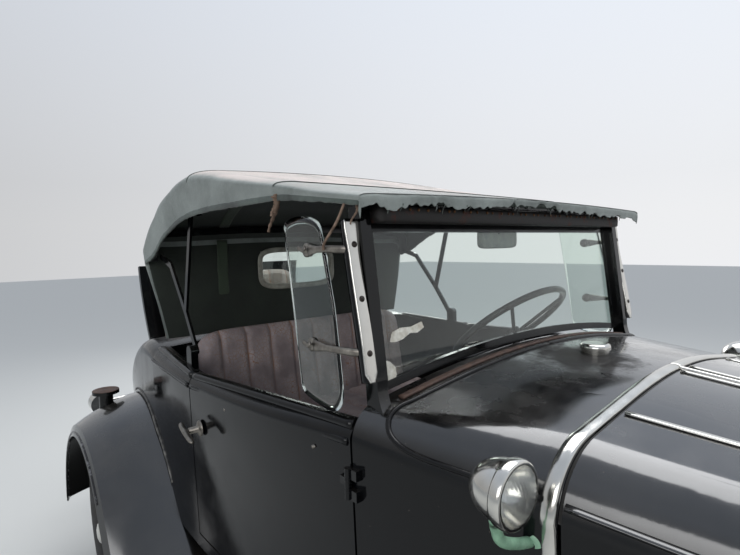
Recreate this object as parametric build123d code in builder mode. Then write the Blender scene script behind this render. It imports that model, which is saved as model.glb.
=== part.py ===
"""Open two-seat car of about 1930 with a folding cloth top and a rumble seat.

Millimetres, +X forward, +Y to the driver's left, +Z up. The origin lies on the ground
at the middle of the car's length and width.
"""
import os
from math import atan2, cos, degrees, radians, sin

from build123d import *

os.makedirs("parts", exist_ok=True)

# Overall layout
wheelbase = 2629
track = 1422
front_overhang = 560
rear_overhang = 1001
fender_half_width = 851
tyre_diameter = 724
tyre_width = 122
sheet = 6
seat_gap = 0.3
moving_gap = 5.5

car_length = front_overhang + wheelbase + rear_overhang
front_axle_x = car_length / 2 - front_overhang
rear_axle_x = front_axle_x - wheelbase
wheel_y = track / 2
wheel_z = tyre_diameter / 2

# Body stations along the car
windshield_setback = 1240
cowl_length = 360
hood_length = 802
door_length = 715
cockpit_length = 1120
deck_length = 885

windshield_x = front_axle_x - windshield_setback
band_x = windshield_x + cowl_length
hood_front_x = band_x + hood_length
door_front_x = windshield_x - 5
door_rear_x = door_front_x - door_length
cockpit_rear_x = door_front_x - cockpit_length
tail_x = cockpit_rear_x - deck_length

# Levels above the ground
frame_bottom_z = 450
rail_height = 110
frame_top_z = frame_bottom_z + rail_height
body_floor = 15
door_sill_z = frame_top_z + 42
board_top_z = 372

body_wall = 42
hood_wall = 10


def save(builder, name):
    """Label a finished piece and write its STEP file."""
    builder.part.label = name
    export_step(builder.part, f"parts/{name}.step")


def body_section(x, low, belt, belt_z, top, top_z, crown_z, inset=0.0, bottom_z=None):
    """Closed section across the car: flat bottom, side, shoulder arc and crowned top."""
    floor_z = frame_top_z if bottom_z is None else bottom_z
    half_low, half_belt, half_top = low - inset, belt - inset, top - inset * 0.8
    edge_z, crown = top_z - inset * 0.9, crown_z - inset
    mid_y = half_top + 0.78 * (half_belt - half_top)
    mid_z = belt_z + 0.66 * (edge_z - belt_z)
    with BuildSketch(Plane.YZ.offset(x)) as section:
        with BuildLine():
            Line((half_low, floor_z), (half_belt, belt_z))
            ThreePointArc((half_belt, belt_z), (mid_y, mid_z), (half_top, edge_z))
            ThreePointArc((half_top, edge_z), (0, crown), (-half_top, edge_z))
            ThreePointArc((-half_top, edge_z), (-mid_y, mid_z), (-half_belt, belt_z))
            Line((-half_belt, belt_z), (-half_low, floor_z))
            Line((-half_low, floor_z), (half_low, floor_z))
        make_face()
    return section.sketch.face()


def between(row_a, row_b, x):
    """Section values at x on the straight line between two table rows."""
    share = (x - row_a[0]) / (row_b[0] - row_a[0])
    return (x,) + tuple(a + share * (b - a) for a, b in zip(row_a[1:], row_b[1:]))


# Section tables: x, half width low, half width at the belt, belt z, half width of the
# top, top edge z, crown z
radiator_row = (hood_front_x, 262, 286, 965, 200, 1082, 1112)
band_row = (band_x, 474, 490, 1046, 352, 1154, 1196)
cowl_row = (door_front_x, 572, 588, 1082, 514, 1160, 1205)
body_rows = (
    (door_front_x, 572, 588, 1088, 560, 1120, 1140),
    (door_rear_x, 636, 650, 1062, 622, 1092, 1115),
    (cockpit_rear_x, 626, 640, 1068, 590, 1108, 1130),
)
tail_rows = (
    body_rows[2],
    (cockpit_rear_x - 0.47 * deck_length, 586, 600, 985, 520, 1048, 1068),
    (cockpit_rear_x - 0.82 * deck_length, 522, 535, 770, 455, 826, 842),
    (tail_x, 455, 466, 602, 425, 632, 640),
)

# Solid body form, used to trim what seats on it
with BuildPart() as body_form:
    loft([body_section(*row) for row in body_rows])
    loft([body_section(*row) for row in tail_rows])

with BuildPart() as body_room:
    for rows in (body_rows, tail_rows):
        loft([body_section(*row, inset=body_wall, bottom_z=frame_top_z - 5) for row in rows])

with BuildPart() as cowl_form:
    loft([body_section(*cowl_row), body_section(*band_row)])

# Rumble lid, cut from the deck and turned open about its lower edge
lid_front_x = cockpit_rear_x - 255
lid_hinge_x = cockpit_rear_x - 0.83 * deck_length
lid_front_half = 462
lid_rear_half = 428
lid_wall = 28
lid_open_angle = 72
lid_hinge_z = tail_rows[2][6] + 6
lid_front_z = 1100
lid_slope = degrees(atan2(lid_front_z - lid_hinge_z, lid_front_x - lid_hinge_x))
lid_length = (lid_front_x - lid_hinge_x) / cos(radians(lid_slope))
lid_plane = Plane(origin=(lid_hinge_x, 0, lid_hinge_z), x_dir=(0, 1, 0),
                  z_dir=(-sin(radians(lid_slope)), 0, cos(radians(lid_slope))))
lid_axis = Axis((lid_hinge_x, 0, lid_hinge_z), (0, -1, 0))


def lid_prism(margin, height, depth):
    """Block over the lid's plan outline, in a plane that follows the deck."""
    with BuildPart() as block:
        with BuildSketch(lid_plane.offset(-depth)):
            with BuildLine():
                Polyline((-lid_rear_half - margin, margin), (lid_rear_half + margin, margin),
                         (lid_front_half + margin, -lid_length - margin),
                         (-lid_front_half - margin, -lid_length - margin), close=True)
            make_face()
        extrude(amount=height + depth)
    return block.part


# Doors hang on outside hinges at their front edge
door_edge_x = door_front_x - moving_gap
hinge_radius = 7
hinge_pin_radius = 3
hinge_levels = (700, 1000)
hinge_knuckle = 20
hinge_y = 596
leaf_length = 26


def door_block(side, front, rear, low):
    """Block that holds one door, wider than the body and taller than its top."""
    with BuildPart() as block:
        with BuildSketch(Plane.XY.offset(low)):
            with BuildLine():
                Polyline((front, side * 400), (rear, side * 400), (rear, side * 720),
                         (front, side * 720), close=True)
            make_face()
        extrude(amount=700)
    return block.part


def rod(start, end, radius):
    """Round bar between two points."""
    axis = Vector(*end) - Vector(*start)
    with BuildPart() as bar:
        with BuildSketch(Plane(origin=start, z_dir=axis)):
            Circle(radius)
        extrude(amount=axis.length)
    return bar.part


def box_between(low, high):
    """Rectangular block between its lowest and highest corners."""
    with BuildPart() as block:
        with BuildSketch(Plane.XY.offset(low[2])):
            with Locations(((low[0] + high[0]) / 2, (low[1] + high[1]) / 2)):
                Rectangle(high[0] - low[0], high[1] - low[1])
        extrude(amount=high[2] - low[2])
    return block.part


# Cockpit opening, from the doors' front edge to the deck, inside the top rail
rail_wide = 46
with BuildPart() as cockpit_hole:
    with BuildSketch(Plane.XY.offset(frame_top_z + 200)):
        with BuildLine():
            Polyline((door_front_x + 1, rail_wide - body_rows[0][2]),
                     (door_front_x + 1, body_rows[0][2] - rail_wide),
                     (door_rear_x, body_rows[1][2] - rail_wide),
                     (cockpit_rear_x + 4, body_rows[2][2] - rail_wide - 20),
                     (cockpit_rear_x + 4, rail_wide + 20 - body_rows[2][2]),
                     (door_rear_x, rail_wide - body_rows[1][2]), close=True)
        make_face()
    extrude(amount=600)

# Rumble lid hinges: knuckles on the tail either side of one on the lid
lid_hinge_y = 300
lid_leaf = 20
lid_leaf_drop = 40
lid_knuckles = ((-hinge_knuckle - 0.5, 0), (0, 1), (hinge_knuckle + 0.5, 0))


def lid_hinge(on_lid):
    """Knuckles and leaves of both lid hinges that belong to the lid, or to the tail."""
    with BuildPart() as leaf:
        for side in (1, -1):
            for shift, owner in lid_knuckles:
                if owner != on_lid:
                    continue
                low = side * lid_hinge_y + shift - hinge_knuckle / 2
                high = low + hinge_knuckle
                add(rod((lid_hinge_x, low, lid_hinge_z), (lid_hinge_x, high, lid_hinge_z),
                        hinge_radius))
                near, far = ((1, lid_leaf) if on_lid else (-24, -3))
                add(box_between((lid_hinge_x + near, low, lid_hinge_z - lid_leaf_drop),
                                (lid_hinge_x + far, high, lid_hinge_z)))
            if not on_lid:
                add(rod((lid_hinge_x, side * lid_hinge_y - 1.5 * hinge_knuckle, lid_hinge_z),
                        (lid_hinge_x, side * lid_hinge_y + 1.5 * hinge_knuckle, lid_hinge_z),
                        hinge_pin_radius))
    return leaf.part


# Body tub: walls, quarters and tail as one hollow shell
with BuildPart() as body_tub:
    add(body_form.part)
    add(body_room.part, mode=Mode.SUBTRACT)
    add(cockpit_hole.part, mode=Mode.SUBTRACT)
    add(lid_prism(moving_gap, 260, 260), mode=Mode.SUBTRACT)
    for side in (1, -1):
        add(door_block(side, door_edge_x + moving_gap, door_rear_x, door_sill_z),
            mode=Mode.SUBTRACT)
    for side in (1, -1):
        add(box_between((lid_hinge_x, side * lid_hinge_y - hinge_knuckle / 2 - moving_gap,
                         lid_hinge_z - lid_leaf_drop - moving_gap),
                        (lid_hinge_x + lid_leaf + moving_gap,
                         side * lid_hinge_y + hinge_knuckle / 2 + moving_gap, lid_hinge_z)),
            mode=Mode.SUBTRACT)
    add(lid_hinge(0))
save(body_tub, "body_tub")

door_names = (("door_left", 1), ("door_right", -1))
for name, side in door_names:
    with BuildPart() as door:
        add(body_form.part)
        add(body_room.part, mode=Mode.SUBTRACT)
        add(cockpit_hole.part, mode=Mode.SUBTRACT)
        add(door_block(side, door_edge_x, door_rear_x + moving_gap,
                       door_sill_z + moving_gap), mode=Mode.INTERSECT)
        for level in hinge_levels:
            add(rod((door_edge_x, side * hinge_y, level),
                    (door_edge_x, side * hinge_y, level + hinge_knuckle), hinge_radius))
            add(box_between((door_edge_x - leaf_length, min(side * 560, side * hinge_y), level + 2),
                            (door_edge_x, max(side * 560, side * hinge_y),
                             level + hinge_knuckle - 2)))
            add(rod((door_edge_x, side * hinge_y, level - 5),
                    (door_edge_x, side * hinge_y, level + hinge_knuckle + 5),
                    hinge_pin_radius + 0.4), mode=Mode.SUBTRACT)
    save(door, name)

with BuildPart() as lid_room:
    loft([body_section(*row, inset=lid_wall, bottom_z=frame_top_z - 5) for row in tail_rows])
with BuildPart() as lid_closed:
    add(body_form.part)
    add(lid_room.part, mode=Mode.SUBTRACT)
    add(lid_prism(0, 260, 200), mode=Mode.INTERSECT)
with BuildPart() as lid_with_hinge:
    add(lid_closed.part)
    add(lid_hinge(1))
    for side in (1, -1):
        add(rod((lid_hinge_x, side * lid_hinge_y - hinge_knuckle, lid_hinge_z),
                (lid_hinge_x, side * lid_hinge_y + hinge_knuckle, lid_hinge_z),
                hinge_pin_radius + 0.4), mode=Mode.SUBTRACT)
with BuildPart() as rumble_lid:
    add(lid_with_hinge.part.rotate(lid_axis, lid_open_angle))
save(rumble_lid, "rumble_lid")

# Cowl: the panel ahead of the doors, with the firewall closing its front
cowl_wall = 30
firewall_x = band_x - 14
with BuildPart() as cowl:
    loft([body_section(*cowl_row), body_section(*band_row)])
    loft([body_section(*cowl_row, inset=cowl_wall, bottom_z=frame_top_z - 5),
          body_section(*between(cowl_row, band_row, firewall_x), inset=cowl_wall,
                       bottom_z=frame_top_z - 5)], mode=Mode.SUBTRACT)
    for side in (1, -1):
        for level in hinge_levels:
            for low in (level - hinge_knuckle - 0.5, level + hinge_knuckle + 0.5):
                add(rod((door_edge_x, side * hinge_y, low),
                        (door_edge_x, side * hinge_y, low + hinge_knuckle), hinge_radius))
                add(box_between((door_edge_x, min(side * 550, side * hinge_y), low),
                                (door_edge_x + leaf_length, max(side * 550, side * hinge_y),
                                 low + hinge_knuckle)))
            add(rod((door_edge_x, side * hinge_y, level - hinge_knuckle),
                    (door_edge_x, side * hinge_y, level + 2 * hinge_knuckle),
                    hinge_pin_radius))
save(cowl, "cowl")

# Bright band round the front edge of the cowl
band_width = 26
band_proud = 4
band_rear_row = between(cowl_row, band_row, band_x - band_width)
with BuildPart() as cowl_band:
    loft([body_section(*band_rear_row, inset=-band_proud),
          body_section(*band_row, inset=-band_proud)])
    add(cowl_form.part, mode=Mode.SUBTRACT)
save(cowl_band, "cowl_band")

# Hood: two halves that meet at a hinge rod along the middle
hood_rear_x = band_x + moving_gap
hood_end_x = hood_front_x - moving_gap
hood_bottom_z = 640
hood_rod_radius = 5
hood_rows = (between(band_row, radiator_row, hood_rear_x),
             between(band_row, radiator_row, hood_end_x))
hood_ends = [(row[0], 0, row[6]) for row in hood_rows]
hood_gap = hood_rod_radius + 0.5
with BuildPart() as hood_shell:
    loft([body_section(*row) for row in hood_rows])
    loft([body_section(*row, inset=hood_wall, bottom_z=frame_top_z - 5) for row in hood_rows],
         mode=Mode.SUBTRACT)
for name, side in (("hood_left", 1), ("hood_right", -1)):
    with BuildPart() as hood:
        add(hood_shell.part)
        add(box_between((hood_rear_x - 5, min(side * hood_gap, side * 600), hood_bottom_z),
                        (hood_end_x + 5, max(side * hood_gap, side * 600), 1300)),
            mode=Mode.INTERSECT)
    save(hood, name)

# Radiator: bright shell round the core, with its filler cap
shell_depth = 104
shell_rim = 34
radiator_bottom_z = frame_top_z
core_depth = 62
with BuildPart() as radiator_shell:
    loft([body_section(*radiator_row, inset=-6, bottom_z=radiator_bottom_z),
          body_section(hood_front_x + shell_depth, *radiator_row[1:], inset=0,
                       bottom_z=radiator_bottom_z)])
    loft([body_section(hood_front_x - 1, *radiator_row[1:], inset=shell_rim,
                       bottom_z=radiator_bottom_z + 60),
          body_section(hood_front_x + shell_depth + 1, *radiator_row[1:], inset=shell_rim,
                       bottom_z=radiator_bottom_z + 60)], mode=Mode.SUBTRACT)
    add(rod((hood_front_x + 0.5 * shell_depth, 0, radiator_row[6] - 20),
            (hood_front_x + 0.5 * shell_depth, 0, radiator_row[6] + 22), 30))
    add(rod((hood_front_x + 0.5 * shell_depth, 0, radiator_row[6] + 22),
            (hood_front_x + 0.5 * shell_depth, 0, radiator_row[6] + 40), 36))
    add(rod((band_x, 0, band_row[6]),
            (hood_front_x + 6, 0, radiator_row[6]), hood_rod_radius))
    add(cowl_form.part, mode=Mode.SUBTRACT)
    add(cowl_band.part, mode=Mode.SUBTRACT)
save(radiator_shell, "radiator_shell")
with BuildPart() as radiator_core:
    loft([body_section(x, *radiator_row[1:], inset=shell_rim, bottom_z=radiator_bottom_z + 60)
          for x in (hood_front_x + 20, hood_front_x + 20 + core_depth)])
save(radiator_core, "radiator_core")

# Frame: two channel rails that spread to the rear, tied by cross members
rail_width = 50
rail_front_half = 330
rail_rear_half = 390
frame_front_x = front_axle_x + 330
frame_rear_x = tail_x + 70
rail_spread_x = windshield_x
channel = 6
sector_x = windshield_x + 300
sector_z = frame_top_z - 26
sector_radius = 12
cross_members = ((front_axle_x, 60), (windshield_x + 95, 50), (rear_axle_x, 70),
                 (frame_rear_x + 30, 60))
with BuildPart() as frame:
    with BuildSketch(Plane.XY.offset(frame_bottom_z)):
        for side in (1, -1):
            with BuildLine():
                Polyline((frame_rear_x, side * rail_rear_half),
                         (rail_spread_x, side * rail_rear_half),
                         (frame_front_x, side * rail_front_half),
                         (frame_front_x, side * (rail_front_half - rail_width)),
                         (rail_spread_x, side * (rail_rear_half - rail_width)),
                         (frame_rear_x, side * (rail_rear_half - rail_width)), close=True)
            make_face()
    extrude(amount=rail_height)
    with BuildSketch(Plane.XY.offset(frame_bottom_z + channel)):
        for side in (1, -1):
            with BuildLine():
                Polyline((frame_rear_x - 1, side * (rail_rear_half - channel)),
                         (rail_spread_x, side * (rail_rear_half - channel)),
                         (frame_front_x + 1, side * (rail_front_half - channel)),
                         (frame_front_x + 1, side * (rail_front_half - rail_width - 1)),
                         (rail_spread_x, side * (rail_rear_half - rail_width - 1)),
                         (frame_rear_x - 1, side * (rail_rear_half - rail_width - 1)),
                         close=True)
            make_face()
    extrude(amount=rail_height - 2 * channel, mode=Mode.SUBTRACT)
    for x, width in cross_members:
        half = rail_rear_half - channel if x < rail_spread_x + 200 else rail_front_half - 2
        add(box_between((x - width / 2, -half, frame_top_z - 32), (x + width / 2, half, frame_top_z)))
    add(rod((sector_x, rail_front_half, sector_z), (sector_x, rail_rear_half + 12, sector_z), 22))
    add(rod((sector_x, rail_front_half - 20, sector_z),
            (sector_x, rail_rear_half + 20, sector_z), sector_radius + 0.4), mode=Mode.SUBTRACT)
save(frame, "frame")

# Front axle: dropped I-beam with a kingpin boss at each end
kingpin_y = wheel_y - 90
kingpin_radius = 11
boss_radius = 18
boss_half_height = 34
beam_width = 44
beam_height = 46
beam_drop = 46
perch_y = 425
with BuildPart() as front_axle:
    with BuildSketch(Plane.YZ.offset(front_axle_x - beam_width / 2)):
        with BuildLine():
            Polyline((-kingpin_y, wheel_z - 20), (-perch_y - 60, wheel_z - 20 - beam_drop * 0.7),
                     (-perch_y + 40, wheel_z - 20 - beam_drop), (perch_y - 40, wheel_z - 20 - beam_drop),
                     (perch_y + 60, wheel_z - 20 - beam_drop * 0.7), (kingpin_y, wheel_z - 20),
                     (kingpin_y, wheel_z + 20), (perch_y + 60, wheel_z + 24 - beam_drop * 0.7),
                     (perch_y - 40, wheel_z + 26 - beam_drop), (-perch_y + 40, wheel_z + 26 - beam_drop),
                     (-perch_y - 60, wheel_z + 24 - beam_drop * 0.7), (-kingpin_y, wheel_z + 20),
                     close=True)
        make_face()
    extrude(amount=beam_width)
    for side in (1, -1):
        add(box_between((front_axle_x - beam_width, min(side * (kingpin_y - 26), side * 700), 200),
                        (front_axle_x + beam_width, max(side * (kingpin_y - 26), side * 700), 500)),
            mode=Mode.SUBTRACT)
        add(box_between((front_axle_x - 12, min(side * (kingpin_y - 40), side * kingpin_y), wheel_z - 18),
                        (front_axle_x + 12, max(side * (kingpin_y - 40), side * kingpin_y), wheel_z + 18)))
        add(rod((front_axle_x, side * kingpin_y, wheel_z - boss_half_height),
                (front_axle_x, side * kingpin_y, wheel_z + boss_half_height), boss_radius))
        add(rod((front_axle_x, side * kingpin_y, wheel_z - 56),
                (front_axle_x, side * kingpin_y, wheel_z + 56), kingpin_radius))
save(front_axle, "front_axle")

# Hubs, drums and spindles
spindle_radius = 17
spindle_reach = 24
hub_bore = spindle_radius + 0.4
backing_radius = 138
backing_inner = 61
backing_outer = 57
drum_radius = 146
drum_inner = backing_outer - moving_gap
ear_low = boss_half_height + 2
ear_high = ear_low + 16
arm_length = 150

knuckle_names = (("knuckle_left", 1), ("knuckle_right", -1))
for name, side in knuckle_names:
    with BuildPart() as knuckle:
        for low in (wheel_z + ear_low, wheel_z - ear_high):
            add(box_between((front_axle_x - 20, min(side * kingpin_y, side * (wheel_y - backing_inner)), low),
                            (front_axle_x + 20, max(side * kingpin_y, side * (wheel_y - backing_inner)),
                             low + 16)))
            add(rod((front_axle_x, side * kingpin_y, low),
                    (front_axle_x, side * kingpin_y, low + 16), 20))
        add(box_between((front_axle_x - 20,
                         min(side * (kingpin_y + 20), side * (wheel_y - backing_inner)), wheel_z - ear_high),
                        (front_axle_x + 20,
                         max(side * (kingpin_y + 20), side * (wheel_y - backing_inner)), wheel_z + ear_high)))
        add(rod((front_axle_x, side * (wheel_y - backing_inner), wheel_z),
                (front_axle_x, side * (wheel_y - backing_outer), wheel_z), backing_radius))
        add(rod((front_axle_x, side * (wheel_y - backing_outer), wheel_z),
                (front_axle_x, side * (wheel_y + spindle_reach), wheel_z), spindle_radius))
        add(box_between((front_axle_x - arm_length,
                         min(side * (kingpin_y - 11), side * (kingpin_y + 11)), wheel_z - ear_high),
                        (front_axle_x, max(side * (kingpin_y - 11), side * (kingpin_y + 11)),
                         wheel_z - ear_low)))
        add(rod((front_axle_x - arm_length, side * kingpin_y, wheel_z - ear_high - 20),
                (front_axle_x - arm_length, side * kingpin_y, wheel_z - ear_low), 8))
        add(rod((front_axle_x - arm_length, side * kingpin_y, wheel_z - ear_high),
                (front_axle_x - arm_length, side * kingpin_y, wheel_z - ear_low), 14))
        if side > 0:
            add(box_between((front_axle_x - 11, kingpin_y - arm_length, wheel_z + ear_low),
                            (front_axle_x + 11, kingpin_y, wheel_z + ear_high)))
            add(rod((front_axle_x, kingpin_y - arm_length, wheel_z + ear_low),
                    (front_axle_x, kingpin_y - arm_length, wheel_z + ear_high), 14))
            add(rod((front_axle_x, kingpin_y - arm_length, wheel_z + ear_low),
                    (front_axle_x, kingpin_y - arm_length, wheel_z + ear_high + 20), 8))
        add(rod((front_axle_x, side * kingpin_y, wheel_z - 60),
                (front_axle_x, side * kingpin_y, wheel_z + 60), kingpin_radius + 0.4),
            mode=Mode.SUBTRACT)
    save(knuckle, name)

# Tie rod behind the axle, with an eye round each arm's pin
tie_x = front_axle_x - arm_length
tie_z = wheel_z - ear_high - seat_gap - 8
with BuildPart() as tie_rod:
    add(rod((tie_x, -kingpin_y + 10, tie_z), (tie_x, kingpin_y - 10, tie_z), 7))
    for side in (1, -1):
        add(rod((tie_x, side * kingpin_y, tie_z - 8), (tie_x, side * kingpin_y, tie_z + 8), 15))
    for side in (1, -1):
        add(rod((tie_x, side * kingpin_y, tie_z - 9), (tie_x, side * kingpin_y, tie_z + 9), 8.4),
            mode=Mode.SUBTRACT)
save(tie_rod, "tie_rod")

# Pitman arm and drag link on the driver's side
link_z = wheel_z + ear_high + seat_gap + 8
pitman_length = sector_z - link_z
pitman_y = rail_rear_half + 12 + seat_gap
pitman_thick = 12
link_rear_y = pitman_y + pitman_thick + seat_gap + 10
link_front_y = kingpin_y - arm_length
with BuildPart() as pitman_arm:
    with BuildSketch(Plane(origin=(sector_x, pitman_y, sector_z), x_dir=(1, 0, 0), z_dir=(0, -1, 0))):
        with Locations((0, -pitman_length / 2)):
            SlotCenterToCenter(pitman_length, 34, rotation=90)
    extrude(amount=-pitman_thick)
    add(rod((sector_x, rail_front_half - 10, sector_z), (sector_x, pitman_y + 2, sector_z),
            sector_radius))
save(pitman_arm, "pitman_arm")

with BuildPart() as drag_link:
    add(rod((sector_x, link_rear_y - 10, link_z), (sector_x, link_rear_y + 10, link_z), 15))
    add(rod((sector_x, link_rear_y, link_z), (front_axle_x - 10, link_front_y, link_z), 7))
    add(rod((front_axle_x, link_front_y, link_z - 8), (front_axle_x, link_front_y, link_z + 8), 15))
    add(rod((front_axle_x, link_front_y, link_z - 9), (front_axle_x, link_front_y, link_z + 9), 8.4),
        mode=Mode.SUBTRACT)
save(drag_link, "drag_link")

# Rear axle: tapered housings, differential and torque tube
diff_radius = 118
torque_front_x = windshield_x + 130
with BuildPart() as rear_axle:
    with BuildSketch(Plane.XY.offset(wheel_z)):
        with BuildLine():
            Polyline((rear_axle_x, -wheel_y + backing_inner), (rear_axle_x + 36, -wheel_y + backing_inner),
                     (rear_axle_x + 50, -150), (rear_axle_x + diff_radius, -60),
                     (rear_axle_x + diff_radius, 60), (rear_axle_x + 50, 150),
                     (rear_axle_x + 36, wheel_y - backing_inner), (rear_axle_x, wheel_y - backing_inner),
                     close=True)
        make_face()
    revolve(axis=Axis((rear_axle_x, 0, wheel_z), (0, 1, 0)))
    add(rod((rear_axle_x, 0, wheel_z), (torque_front_x, 0, wheel_z + 78), 38))
    for side in (1, -1):
        add(rod((rear_axle_x, side * (wheel_y - backing_inner), wheel_z),
                (rear_axle_x, side * (wheel_y - backing_outer), wheel_z), backing_radius))
        add(rod((rear_axle_x, side * (wheel_y - backing_outer), wheel_z),
                (rear_axle_x, side * (wheel_y + spindle_reach), wheel_z), spindle_radius))
save(rear_axle, "rear_axle")

# Transverse leaf springs, one over each axle, with shackles down to the perches
spring_rows = (
    # x, half span, end z, middle z, leaf depth, shackle foot z
    (front_axle_x, perch_y, 452, frame_top_z - 32 - 46, 46, wheel_z + 26 - beam_drop),
    (rear_axle_x, 520, 462, frame_top_z - 32 - 42, 42, wheel_z + 37),
)
spring_width = 46
with BuildPart() as springs:
    for x, half, end_z, mid_z, depth, foot_z in spring_rows:
        with BuildSketch(Plane.YZ.offset(x - spring_width / 2)):
            with BuildLine():
                ThreePointArc((-half - 12, end_z), (0, mid_z), (half + 12, end_z))
                Line((half + 12, end_z), (half + 12, end_z + 12))
                ThreePointArc((half + 12, end_z + 12), (0, mid_z + depth), (-half - 12, end_z + 12))
                Line((-half - 12, end_z + 12), (-half - 12, end_z))
            make_face()
        extrude(amount=spring_width)
        for side in (1, -1):
            add(box_between((x - 22, side * half - 9, foot_z), (x + 22, side * half + 9, end_z + 4)))
    add(frame.part, mode=Mode.SUBTRACT)
    add(front_axle.part, mode=Mode.SUBTRACT)
    add(rear_axle.part, mode=Mode.SUBTRACT)
save(springs, "springs")

# Wire wheels: drop-centre rim, two rows of spokes, hub with its drum and cap
rim_seat = 241
rim_half = 42
spoke_half = 2.8
spoke_rows = (
    # spokes, hub radius, hub offset, rim offset, turn to the rim in degrees, first angle
    (10, 52, 38, 6, 0, 0),
    (10, 66, -4, -6, 14, 12),
    (10, 66, -4, -6, -14, 24),
)


def turned(points, centre, axis_out):
    """Solid of revolution about a wheel's axis, from (offset outwards, radius) points."""
    with BuildPart() as ring:
        with BuildSketch(Plane(origin=centre, x_dir=(0, axis_out, 0), z_dir=(axis_out, 0, 0))):
            with BuildLine():
                Polyline(*points, close=True)
            make_face()
        revolve(axis=Axis(centre, (0, 1, 0)))
    return ring.part


def wire_wheel(drum):
    """Wheel about the origin with its outer face towards +Y."""
    with BuildPart() as wheel:
        add(turned(((-rim_half - 3, rim_seat + 18), (-rim_half, rim_seat + 18), (-rim_half + 1, rim_seat),
                    (-20, rim_seat), (-13, rim_seat - 14), (13, rim_seat - 14), (20, rim_seat),
                    (rim_half - 1, rim_seat), (rim_half, rim_seat + 18), (rim_half + 3, rim_seat + 18),
                    (rim_half + 3, rim_seat - 5), (22, rim_seat - 6), (15, rim_seat - 20),
                    (-15, rim_seat - 20), (-22, rim_seat - 6), (-rim_half - 3, rim_seat - 5)),
                   (0, 0, 0), 1))
        add(turned(((-drum_inner, hub_bore), (-drum_inner, 40), (-12, 40), (-12, 72), (6, 72), (30, 56),
                    (44, 56), (48, 44), (70, 42), (78, 34), (80, 0), (36, 0), (36, hub_bore)),
                   (0, 0, 0), 1))
        if drum:
            add(turned(((-drum_inner, drum_radius - 6), (-drum_inner, drum_radius), (-10, drum_radius - 2),
                        (-10, 60), (-15, 60), (-15, drum_radius - 8)), (0, 0, 0), 1))
        for count, hub_r, hub_off, rim_off, turn, first in spoke_rows:
            for index in range(count):
                angle = radians(first + index * 360 / count)
                far = angle + radians(turn)
                start = (hub_r * cos(angle), hub_off, hub_r * sin(angle))
                end = ((rim_seat - 16) * cos(far), rim_off, (rim_seat - 16) * sin(far))
                axis = Vector(*end) - Vector(*start)
                with BuildSketch(Plane(origin=start, z_dir=axis)):
                    Rectangle(2 * spoke_half, 2 * spoke_half)
                extrude(amount=axis.length)
    return wheel.part


wheel_form = wire_wheel(True)
spare_form = wire_wheel(False)
wheel_places = (
    ("front_left", front_axle_x, 1), ("front_right", front_axle_x, -1),
    ("rear_left", rear_axle_x, 1), ("rear_right", rear_axle_x, -1),
)


def tyre_form(centre, side):
    """Tyre with rounded walls and a flat tread, about a wheel's centre, as conical bands."""
    half = tyre_width / 2
    outer = tyre_diameter / 2
    wall = ((rim_half - 2, rim_seat + 0.5), (rim_half - 1, rim_seat + 19), (half - 6, rim_seat + 38),
            (half, rim_seat + 62), (half - 2, outer - 28), (half - 14, outer - 10), (half - 34, outer))
    return turned([(-u, r) for u, r in wall] + list(reversed(wall)), centre, side)


for place, x, side in wheel_places:
    with BuildPart() as wheel:
        turn = 0 if side > 0 else 180
        add(wheel_form.rotate(Axis.Z, turn).moved(Location((x, side * wheel_y, wheel_z))))
    save(wheel, f"wheel_{place}")
    with BuildPart() as tyre:
        add(tyre_form((x, side * wheel_y, wheel_z), side))
    save(tyre, f"tyre_{place}")

# Engine and gearbox as one closed block between the rails
engine_half = 165
with BuildPart() as engine_block:
    add(box_between((band_x + 60, -engine_half, frame_bottom_z + 20),
                    (hood_front_x - 60, engine_half, 1000)))
    add(box_between((windshield_x + 100, -110, frame_bottom_z + 20),
                    (band_x + 60, 110, frame_top_z - 5)))
    add(frame.part, mode=Mode.SUBTRACT)
    add(rear_axle.part, mode=Mode.SUBTRACT)
save(engine_block, "engine_block")

# Floor boards on the rails, with the seat box
seat_box_z = 740
seat_front_x = windshield_x - 560
seat_back_x = cockpit_rear_x + 60
with BuildPart() as floor:
    add(body_room.part)
    add(box_between((tail_x - 10, -800, frame_top_z), (door_front_x, 800, frame_top_z + body_floor)),
        mode=Mode.INTERSECT)
    add(box_between((door_front_x, -370, frame_top_z), (firewall_x, 370, frame_top_z + body_floor)))
    add(box_between((seat_back_x, -500, frame_top_z + body_floor), (seat_front_x, 500, seat_box_z)))
save(floor, "floor")

# Fenders: one crowned cross-section carried along arcs and straight runs
front_fender_radius = 455
front_fender_angles = (4, 126)
rear_fender_radius = 486
rear_fender_angles = (40, 181)
rear_fender_inner = 460
fender_inner = 560


def fender_profile(radius, inner, lift):
    """Cross-section points of a fender: (half width across the car, radius)."""
    rim = fender_half_width
    return ((inner, radius + lift), (720, radius + 14), (rim - 12, radius - 42), (rim, radius - 84))


def fender_section(plane, profile, side, wall):
    """Curved strip of the wall's thickness on a plane whose x runs outwards."""
    (y0, r0), (y1, r1), (y2, r2), (y3, r3) = profile
    base = r1
    with BuildSketch(plane) as strip:
        with BuildLine():
            ThreePointArc((y0, r0 - base), (y1, r1 - base), (y2, r2 - base))
            Line((y2, r2 - base), (y3, r3 - base))
            Line((y3, r3 - base), (y3 - wall, r3 - base))
            Line((y3 - wall, r3 - base), (y2 - wall, r2 - base - wall * 0.6))
            ThreePointArc((y2 - wall, r2 - base - wall * 0.6), (y1, r1 - base - wall),
                          (y0, r0 - base - wall))
            Line((y0, r0 - base - wall), (y0, r0 - base))
        make_face()
    return strip.sketch.face()


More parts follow.
